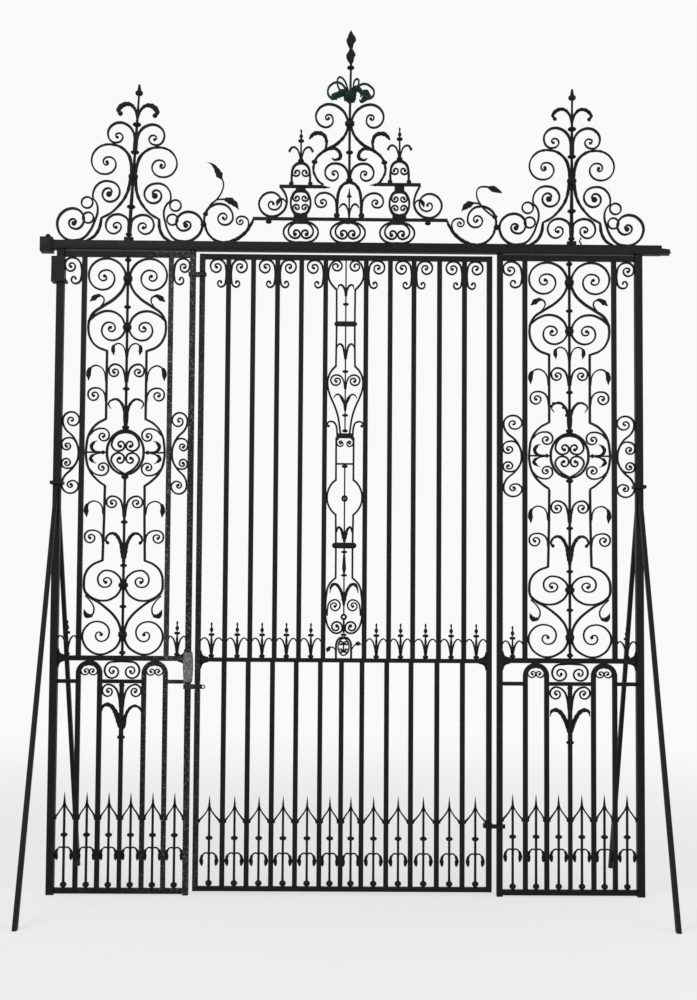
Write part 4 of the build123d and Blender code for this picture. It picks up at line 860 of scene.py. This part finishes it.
def build_pyramid(name, xc, lean):
    """Tall scrolled pyramid over a side panel, leaning a little."""
    d = Drawing(xc, lean=lean, z_ref=LEAN_FROM)
    base = LINTEL_TOP
    d.bar([(0, base - 1), (0, 3400), (0, 3700), (0, 3860)], 16, 12, 11, 9)
    inner = [(4, 3160), (6, 3190)] + curl(68, 3198, 150, -1, [66, 56, 43, 29, 25, 15, 8])
    d.pair(inner, 9, 9, 7, 6, snub=7)
    big = [(7, 3400), (10, 3440)] + curl(132, 3506, 190, -1, [122, 92, 76, 57, 45, 28, 18, 11, 6])
    d.pair(big, 10, 12, 12, 10, 8, 7, snub=7)
    small = [(5, 3560), (6, 3600)] + curl(90, 3638, 180, -1, [83, 68, 45, 30, 26, 15, 8])
    d.pair(small, 9, 10, 9, 7, 6, snub=6)
    d.pair([(5, 3470), (14, 3420), (22, 3370), (45, 3320), (90, 3268), (141, 3237)], 12, 12, 11, 9, 9)
    d.pair([(139, 3241), (146, 3190), (168, 3150), (205, base + 2)], 11, 12, 12, 9)
    leaf = [(3, 3735), (12, 3772), (34, 3797), (60, 3800), (82, 3788), (94, 3768), (84, 3752)]
    if xc > 0:
        d.pair(leaf, 8, 9, 10, 12, 14, 14, 9, snub=8)
    else:
        d.pair(leaf, 8, 9, 11, 13, 18, 20, 13, snub=10)
    up = [(187, 3325)] + curl(111, 3360, 0, 1, [77, 56, 51, 42, 31, 22, 10])
    d.pair(up, 7, 8, 8, 8, 7, snub=12)
    out = [(186, 3330), (168, 3308), (160, 3268), (170, 3226), (190, 3176), (224, 3138), (262, 3128)]
    d.pair(out, 7, 8, 9, 9, 9)
    for x, z, r in ((214, 3310, 27), (204, 3238, 26)):
        d.hoop(x, z, r, r, 7).hoop(x, z, r, r, 7, side=-1)
    vol = [(250, 3130)] + curl(270, 3214, 280, 1, [86, 80, 63, 43, 28, 24, 14, 8])
    d.pair(vol, 9, 10, 10, 9, 8, 7, snub=10)
    beads = []
    for z, r, h in ((3296, 21, 9), (3565, 21, 8), (3702, 21, 9), (3858, 19, 12)):
        x = xc + lean * (z - LEAN_FROM)
        beads.append(knob(x, z, r, h))
    x = xc + lean * (3445 - LEAN_FROM)
    beads.append(collar(x, 3445, 24, 20))
    x = xc + lean * 10
    beads.append(knob(x, base + 34, 16, 9))
    beads.append(block(x - 22, x + 22, base, base + 20, 28))
    if xc > 0:
        fitting = [(0, 3124), (5, 3136), (-3, 3148), (3, 3160)]
        d.items += Drawing(1118).bar(fitting, 6, 5, 5, 3, snub=4).items
    x = xc + lean * 740
    beads.append(profile(x, 3858, [(10, 12), (9, 20), (7, 30), (5, 42), (1, 45)]))
    forge(name, d.items + beads)


def build_lintel():
    """Top beam with the fitting on its left end and the rusted stub at its broken right end."""
    z0, z1 = POST_TOP, LINTEL_TOP
    items = [block(-1470, LINTEL_BREAK, z0, z1, 46), block(-1497, -1437, z0 - 14, z1 + 14, 58)]
    items.append(knob(-1463, z1 + 23, 12, 9))
    forge("lintel_beam", items)
    bm = bmesh.new()
    add_block(bm, 1500, 1558, z0 + 1, z0 + 30, 42, soft=3)
    bmesh.ops.subdivide_edges(bm, edges=bm.edges, cuts=2, use_grid_fill=True)
    for v in bm.verts:
        far = max(0.0, (v.co.x - LINTEL_BREAK) / 48)
        ragged = math.sin(v.co.y * 0.9) + math.sin(v.co.z * 0.7 + v.co.y * 0.4)
        v.co.x -= far * (3 + 3 * ragged)
        v.co.z -= far * (v.co.z - z0 - 8) * (0.28 + 0.07 * ragged)
    piece_from(bm, "lintel_broken_end", "lintel_beam", finish="dark_brown_iron")


def build_tendril(name, s):
    """Loose scroll between a pyramid and the raised rail."""
    d = Drawing()
    low = [(706, 3222), (696, 3180), (668, 3145), (630, 3128), (590, 3128), (545, 3146),
           (505, 3180), (478, 3222), (472, 3240)]
    d.bar(low, 9, 9, 10, 14, 14, 10, side=s)
    v1 = [(708, 3216), (708, 3250), (694, 3286), (664, 3309), (634, 3315), (592, 3299)]
    v1 += curl(613, 3246, 180, 1, [43, 34, 29, 22, 12, 8])
    d.bar(v1, 9, 9, 8, 7, 6, side=s, snub=6)
    v2 = [(500, 3188), (494, 3228), (506, 3248)] + curl(533, 3230, 90, -1, [24, 20, 15, 12, 6])
    d.bar(v2, 6, 7, 6, 5, side=s, snub=5)
    if s > 0:
        stem = [(700, 3262), (664, 3290), (632, 3326), (614, 3372), (621, 3403), (648, 3413),
                (690, 3404), (739, 3383)]
        d.bar(stem, 6, 7, 7, 6, 6, 7, 26, 2, side=s)
        leaf = [(632, 3325), (612, 3331), (586, 3328), (560, 3313), (540, 3290)]
    else:
        stem = [(700, 3262), (680, 3309), (648, 3338), (622, 3384), (618, 3419), (638, 3458),
                (660, 3496), (678, 3512), (697, 3520)]
        d.bar(stem, 6, 7, 7, 6, 6, 8, 26, 18, 2, side=s)
        leaf = [(650, 3334), (622, 3338), (588, 3332), (560, 3314), (542, 3286)]
    d.bar(leaf, 5, 7, 26, 20, 2, side=s)
    beads = [knob(s * 703, 3264, 13, 9), knob(s * 712, 3213, 15, 12)]
    forge(name, d.items + beads)


def build_raised_rail():
    """Raised rail with the three flattened ovals that carry it."""
    d = Drawing()
    d.patch(-474, 473, *RAISED_RAIL)
    for x in (-240, -12, 228):
        e = Drawing(x)
        for s in (-1, 1):
            outer = [(0, 3236), (34, 3230), (68, 3212), (84, 3182), (70, 3148), (38, 3131), (0, 3130)]
            e.bar(outer, 8, side=s)
            inner = [(0, 3230), (30, 3224), (54, 3204), (60, 3180), (50, 3160)]
            inner += curl(25, 3174, 300, -1, [25, 23, 17, 11])
            e.bar(inner, 7, 8, 7, side=s, snub=8)
        e.patch(-12, 12, 3222, 3238)
        d.items += e.items
    beads = [knob(x, 3229, 15, 8) for x in (-396, 377)]
    beads += [block(x - 28, x + 28, 3222, 3238, 22) for x in (-240, 228)]
    forge("raised_rail", d.items + beads)


def build_turret(name, xc, dz, s):
    """Oval, platform, little arch and finial over the raised rail."""
    d = Drawing(xc)
    z0 = RAISED_RAIL[1]
    d.hoop(0, 3324, 48, 66, 9)
    for q in (-1, 1):
        pts = [(0, 3380), (26, 3374), (36, 3358)] + curl(20, 3348, 0, -1, [18, 15, 13, 8])
        d.bar(pts, 6.5, 7, 6, side=q, snub=5.5)
        pts = [(0, 3268), (26, 3276), (36, 3290)] + curl(20, 3300, 0, 1, [18, 15, 13, 8])
        d.bar(pts, 6.5, 7, 6, side=q, snub=5.5)
    zp = 3404 + dz
    d.patch(-34, 34, z0, 3264)
    d.patch(-24, 24, 3382, zp)
    d.patch(-104, 104, zp - 7, zp + 8)
    d.bar([(-s * 100, zp), (-s * 122, zp - 2), (-s * 145, zp - 4)], 13, 9, 2)
    d.pair([(43, zp + 4), (44, zp + 60), (34, zp + 98), (14, zp + 114), (0, zp + 117)], 10, 10, 11)
    d.spots(46, zp + 15, 12)
    for q in (-1, 1):
        pts = [(38, zp + 100), (44, zp + 74)] + curl(22, zp + 70, 350, -1, [20, 18, 15, 9])
        d.bar(pts, 6, 7, 6, side=q, snub=6)
    d.bar([(0, zp + 112), (0, zp + 180), (0, zp + 232)], 9, 8, 7)
    for q in (-1, 1):
        arm = [(2, zp + 120), (8, zp + 160), (24, zp + 190), (42, zp + 194), (58, zp + 172)]
        d.bar(arm, 7, 7, 7, 7, 10, side=q)
    beads = [knob(xc, zp + 127, 15, 10), knob(xc, zp + 226, 15, 8), finial_tip(xc, zp + 228)]
    forge(name, d.items + beads)


def build_pediment():
    """Middle scrollwork from the raised rail up to the collar below the crown."""
    z0 = RAISED_RAIL[1]
    d = Drawing(-6)
    d.bar([(0, 3432), (0, 3700), (4, 4000)], 11, 11, 9)
    d.pair([(58, z0 - 1), (58, 3330), (50, 3385), (28, 3418), (0, 3428)], 12, 11, 12)
    d.spots(60, 3264, 15)
    side_v = [(62, 3300), (70, 3345), (98, 3370)] + curl(131, 3328, 90, -1, [46, 34, 24, 20, 12, 8])
    d.pair(side_v, 8, 8, 7, 6, snub=6)
    low_v = [(4, 3440), (8, 3474), (30, 3508)] + curl(76, 3470, 90, -1, [50, 42, 34, 20, 12, 8])
    d.pair(low_v, 9, 9, 8, 7, 6, snub=6)
    main = [(4, 3740), (8, 3702), (26, 3655), (68, 3612), (122, 3582), (158, 3550), (172, 3516),
            (174, 3478), (152, 3434), (126, 3414)]
    d.pair(main, 9, 10, 13, 14, 10, 9, 9)
    top_v = [(5, 3700), (14, 3748), (42, 3790)] + curl(106, 3744, 100, -1, [70, 60, 46, 24, 18, 12, 7])
    d.pair(top_v, 9, 10, 9, 8, 7, 6, snub=6)
    d.pair([(122, 3578), (112, 3620), (122, 3656), (148, 3670), (176, 3664), (196, 3640)],
           8, 9, 12, 15, 17, 8)
    d.pair([(110, 3586), (72, 3594), (48, 3574), (46, 3548), (70, 3538), (86, 3546)],
           8, 11, 12, 13, 14, 6)
    d.bar([(0, z0 - 1), (0, 3300), (0, 3356)], 9, 7, 7)
    for s in (-1, 1):
        d.bar([(2, 3262), (8, 3296), (26, 3320), (40, 3314), (48, 3300)], 6, 6, 7, 8, 4, side=s)
    beads = [knob(-6, 3438, 17, 10), knob(-6, 3575, 18, 8), knob(-3, 3996, 18, 9)]
    beads += [collar(-6, 3718, 24, 22), knob(-6, 3358, 12, 6)]
    beads.append(profile(-6, 3358, [(5, 6), (6, 14), (3, 24), (3, 34), (1, 42)]))
    for s in (-1, 1):
        beads.append(knob(-6 + s * 170, 3527, 15, 9))
    forge("centre_pediment", d.items + beads)


def build_outer_curls(name, s, top):
    """Scroll between the raised rail and the outer end of a platform."""
    d = Drawing()
    pts = [(338, top + 4), (314, 3360), (310, 3318), (334, 3274)]
    pts += curl(380, 3318, 270, 1, [63, 64, 56, 44, 28, 17, 10])
    d.bar(pts, 9, 9, 9, 8, 7, 6, side=s, snub=6)
    d.bar([(310, 3300), (318, 3334), (338, 3342), (352, 3328), (358, 3306)], 5, 6, 8, 16, 3, side=s)
    forge(name, d.items)


def build_crown():
    """Whorl of looped straps and folded leaves round the stem."""
    d = Drawing(-4)
    loops = (
        (-1, [(4, 3848), (26, 3896), (58, 3922), (92, 3912), (110, 3880), (100, 3850), (76, 3842)], 8),
        (-1, [(6, 3852), (16, 3900), (34, 3938), (54, 3948), (64, 3922), (48, 3880), (22, 3854)], 7),
        (1, [(4, 3848), (30, 3892), (62, 3916), (98, 3904), (116, 3874), (100, 3846), (74, 3850)], 8),
        (1, [(6, 3856), (14, 3900), (24, 3936), (36, 3940), (38, 3908), (26, 3872), (12, 3854)], 7),
    )
    for s, pts, w in loops:
        d.bar(pts, w, w, w, w, w, w + 2, side=s)
    leaves = (
        (-1, [(46, 3880), (58, 3868), (76, 3852), (92, 3838)], (8, 20, 30, 14)),
        (-1, [(10, 3870), (28, 3876), (46, 3866), (56, 3846)], (12, 26, 30, 10)),
        (1, [(10, 3872), (26, 3892), (42, 3886), (50, 3868)], (12, 24, 24, 8)),
        (1, [(50, 3852), (62, 3872), (78, 3868), (84, 3838)], (8, 22, 30, 14)),
        (-1, [(30, 3858), (14, 3846), (-8, 3842), (-26, 3850)], (14, 34, 36, 14)),
        (1, [(44, 3836), (56, 3830), (68, 3842), (74, 3862)], (8, 18, 22, 8)),
    )
    for s, pts, widths in leaves:
        d.bar(pts, *widths, side=s)
    forge("crown_cluster", d.items, deep=26, extra=add_crown_sides)


def add_crown_sides(bm):
    """The same straps and leaves turned a quarter round the stem, smaller, and the cup under them."""
    part = bmesh.new()
    strap = [(4, 3850), (20, 3886), (42, 3902), (64, 3890), (70, 3862), (58, 3842)]
    leaf = [(8, 3860), (24, 3870), (42, 3862), (52, 3838)]
    bars = [([(s * x, z) for x, z in strap], (8, 8, 8, 9), False) for s in (-1, 1)]
    blades = [([(s * x, z) for x, z in leaf], (12, 26, 28, 6), False) for s in (-1, 1)]
    for strokes, corners, thick in ((bars, FLAT_BAR, 12.0), (blades, LEAF_SHEET, 14.0)):
        add_mesh(part, sweep(strokes, corners, thick))
    turn = Matrix.Rotation(math.pi / 2, 3, "Z")
    bmesh.ops.rotate(part, verts=part.verts, cent=(0, 0, 0), matrix=turn)
    bmesh.ops.translate(part, verts=part.verts, vec=(-4, 0, 0))
    add_part(bm, part)
    cup = [(8, -14), (14, -12), (26, 0), (31, 12), (29, 22), (16, 26), (6, 30)]
    add_turned(bm, -4, 3846, cup)


def build_flame():
    prof = [(5, 0), (7, 12), (20, 34), (24, 52), (14, 74), (8, 88), (14, 100), (25, 124),
            (20, 146), (8, 168), (1, 178)]
    forge("flame_finial", [], extra=lambda bm: add_flame(bm, prof))


def build_ornament():
    for name, side in (("left", -1), ("right", 1)):
        side_scrolls(name + "_panel_scrollwork", side)
        strip_scrolls(name + "_strip_scrolls", side)
        build_strip_finials(name + "_strip_finials", side)
        lower_scrolls(name + "_lower_scrolls", side)
        panel_dog_bars(name + "_dog_bars", side)
    leaf_top_scrolls()
    leaf_centre()
    leaf_finials()
    lines = [AXIS_X] + list(LOWER_BARS) + [STRIKE_STILE_X]
    build_dog_bars("leaf_dog_bars", lines, [STILE_W] + [BAR_W] * 11 + [STILE_W], LEAF_FOOT[1])
    build_pyramid("left_pyramid", -1073, 0.055)
    build_pyramid("right_pyramid", 1076, 0.006)
    build_lintel()
    build_tendril("left_tendril", -1)
    build_tendril("right_tendril", 1)
    build_raised_rail()
    build_turret("left_turret", -242, 0, -1)
    build_turret("right_turret", 238, 14, 1)
    build_pediment()
    build_outer_curls("left_outer_curl", -1, 3396)
    build_outer_curls("right_outer_curl", 1, 3410)
    build_crown()
    build_flame()


build_ornament()


def build_sleeve():
    """Rubbed and slightly swollen sleeve round the hanging post, below the lock rail."""
    bm = bmesh.new()
    add_block(bm, HANG_X - 19, HANG_X + 19, *SLEEVE, 38, soft=5)
    bmesh.ops.subdivide_edges(bm, edges=bm.edges, cuts=3, use_grid_fill=True)
    for v in bm.verts:
        swell = math.sin(math.pi * (v.co.z - SLEEVE[0]) / (SLEEVE[1] - SLEEVE[0]))
        v.co.x += swell * (4 if v.co.x > HANG_X else -4) + 0.6 * math.sin(v.co.z * 0.21 + v.co.y)
    piece_from(bm, "sleeve_face", "hanging_post", finish="bare_iron")
    eye = Drawing().hoop(-687, 981, 8, 8, 5).items[0]
    bm = bmesh.new()
    add_mesh(bm, sweep([(eye[1], eye[2], True)], FLAT_BAR, 9.0))
    piece_from(bm, "hinge_eye", "middle_hinge_collar")


build_sleeve()


# Finishes and softened edges on the solids that stay
def dress_solids():
    for name, ob in frame["nodes"].items():
        slot = SLOT_OF[name]
        ob.data.materials.clear()
        ob.data.materials.append(MATERIALS[slot])
        weld = ob.modifiers.new("weld", "WELD")
        weld.merge_threshold = 0.00002
        soft = ob.modifiers.new("soft_edges", "BEVEL")
        soft.width = 0.0016
        soft.segments = 2
        soft.limit_method = "ANGLE"
        soft.angle_limit = math.radians(50)


dress_solids()


# Floor, light and camera
def floor_finish(name, colour):
    """Matt pale floor that shows nearly white to the camera and keeps a soft shadow."""
    mat, bsdf, place = new_material(name)
    tone = noise(place, 1.2).mix(colour, tuple(c * 0.97 for c in colour))
    connect(bsdf, Base_Color=tone)
    bsdf.inputs["Roughness"].default_value = 0.9
    tree = mat.node_tree
    away = place.node("ShaderNodeVectorMath", {"operation": "LENGTH"}, {0: place}, 1).ramp(1.2, 8.0)
    seen = background_rays(place) * (away * 0.35 + 0.65)
    glow = place.node("ShaderNodeEmission", {}, {"Color": (0.95, 0.95, 0.945, 1.0), "Strength": 1.0})
    both = place.node("ShaderNodeMixShader", {}, {0: seen, 1: Shade(tree, bsdf.outputs[0]), 2: glow})
    out = next(n for n in tree.nodes if n.type == "OUTPUT_MATERIAL")
    tree.links.new(both.socket, out.inputs["Surface"])
    return mat


def lay_floor(name, reach, colour):
    bm = bmesh.new()
    bmesh.ops.create_grid(bm, x_segments=1, y_segments=1, size=reach)
    bmesh.ops.translate(bm, verts=bm.verts, vec=(GATE_MIDDLE, 0, 0))
    mesh = bpy.data.meshes.new(name)
    bm.to_mesh(mesh)
    bm.free()
    ob = bpy.data.objects.new(name, mesh)
    bpy.context.scene.collection.objects.link(ob)
    mesh.materials.append(floor_finish(name, colour))


lay_floor("pale_floor", 40.0, (0.82, 0.82, 0.8))


def area_lamp(name, at, aim, size, power):
    data = bpy.data.lights.new(name, "AREA")
    data.shape = "DISK"
    data.size = size
    data.energy = power
    ob = bpy.data.objects.new(name, data)
    ob.location = at
    ob.rotation_euler = (Vector(aim) - Vector(at)).to_track_quat("-Z", "Y").to_euler()
    bpy.context.scene.collection.objects.link(ob)


area_lamp("key_lamp", (-3.5, -6.5, 6.0), aim=(GATE_MIDDLE, 0, 2.0), size=4.0, power=330.0)
area_lamp("fill_lamp", (5.5, -5.0, 3.5), aim=(GATE_MIDDLE, 0, 1.5), size=4.0, power=120.0)


def plain_world():
    world = bpy.data.worlds.new("plain_world")
    bpy.context.scene.world = world
    world.use_nodes = True
    tree = world.node_tree
    tree.nodes.clear()
    start = Shade(tree, None)
    seen = background_rays(start)
    light = start.node("ShaderNodeBackground", {}, {"Color": (0.95, 0.97, 1.0, 1.0), "Strength": 0.5})
    shown = start.node("ShaderNodeBackground", {}, {"Color": (0.95, 0.95, 0.945, 1.0), "Strength": 1.0})
    both = start.node("ShaderNodeMixShader", {}, {0: seen, 1: light, 2: shown})
    out = tree.nodes.new("ShaderNodeOutputWorld")
    tree.links.new(both.socket, out.inputs["Surface"])


plain_world()


def place_camera(at, pan, tilt, roll):
    """Camera at the photograph's viewpoint: place in metres, turns in radians."""
    data = bpy.data.cameras.new("viewpoint")
    data.sensor_width = 36.0
    data.lens = 47.45
    data.shift_y = 0.036
    ob = bpy.data.objects.new("viewpoint", data)
    turn = Matrix.Rotation(pan, 4, "Z") @ Matrix.Rotation(math.pi / 2 + tilt, 4, "X")
    ob.matrix_world = Matrix.Translation(at) @ turn @ Matrix.Rotation(roll, 4, "Z")
    bpy.context.scene.collection.objects.link(ob)
    bpy.context.scene.camera = ob


place_camera((0.6911, -6.3173, 1.3862), pan=-0.0111, tilt=0.0504, roll=0.0066)
bpy.context.scene.view_settings.view_transform = "Standard"
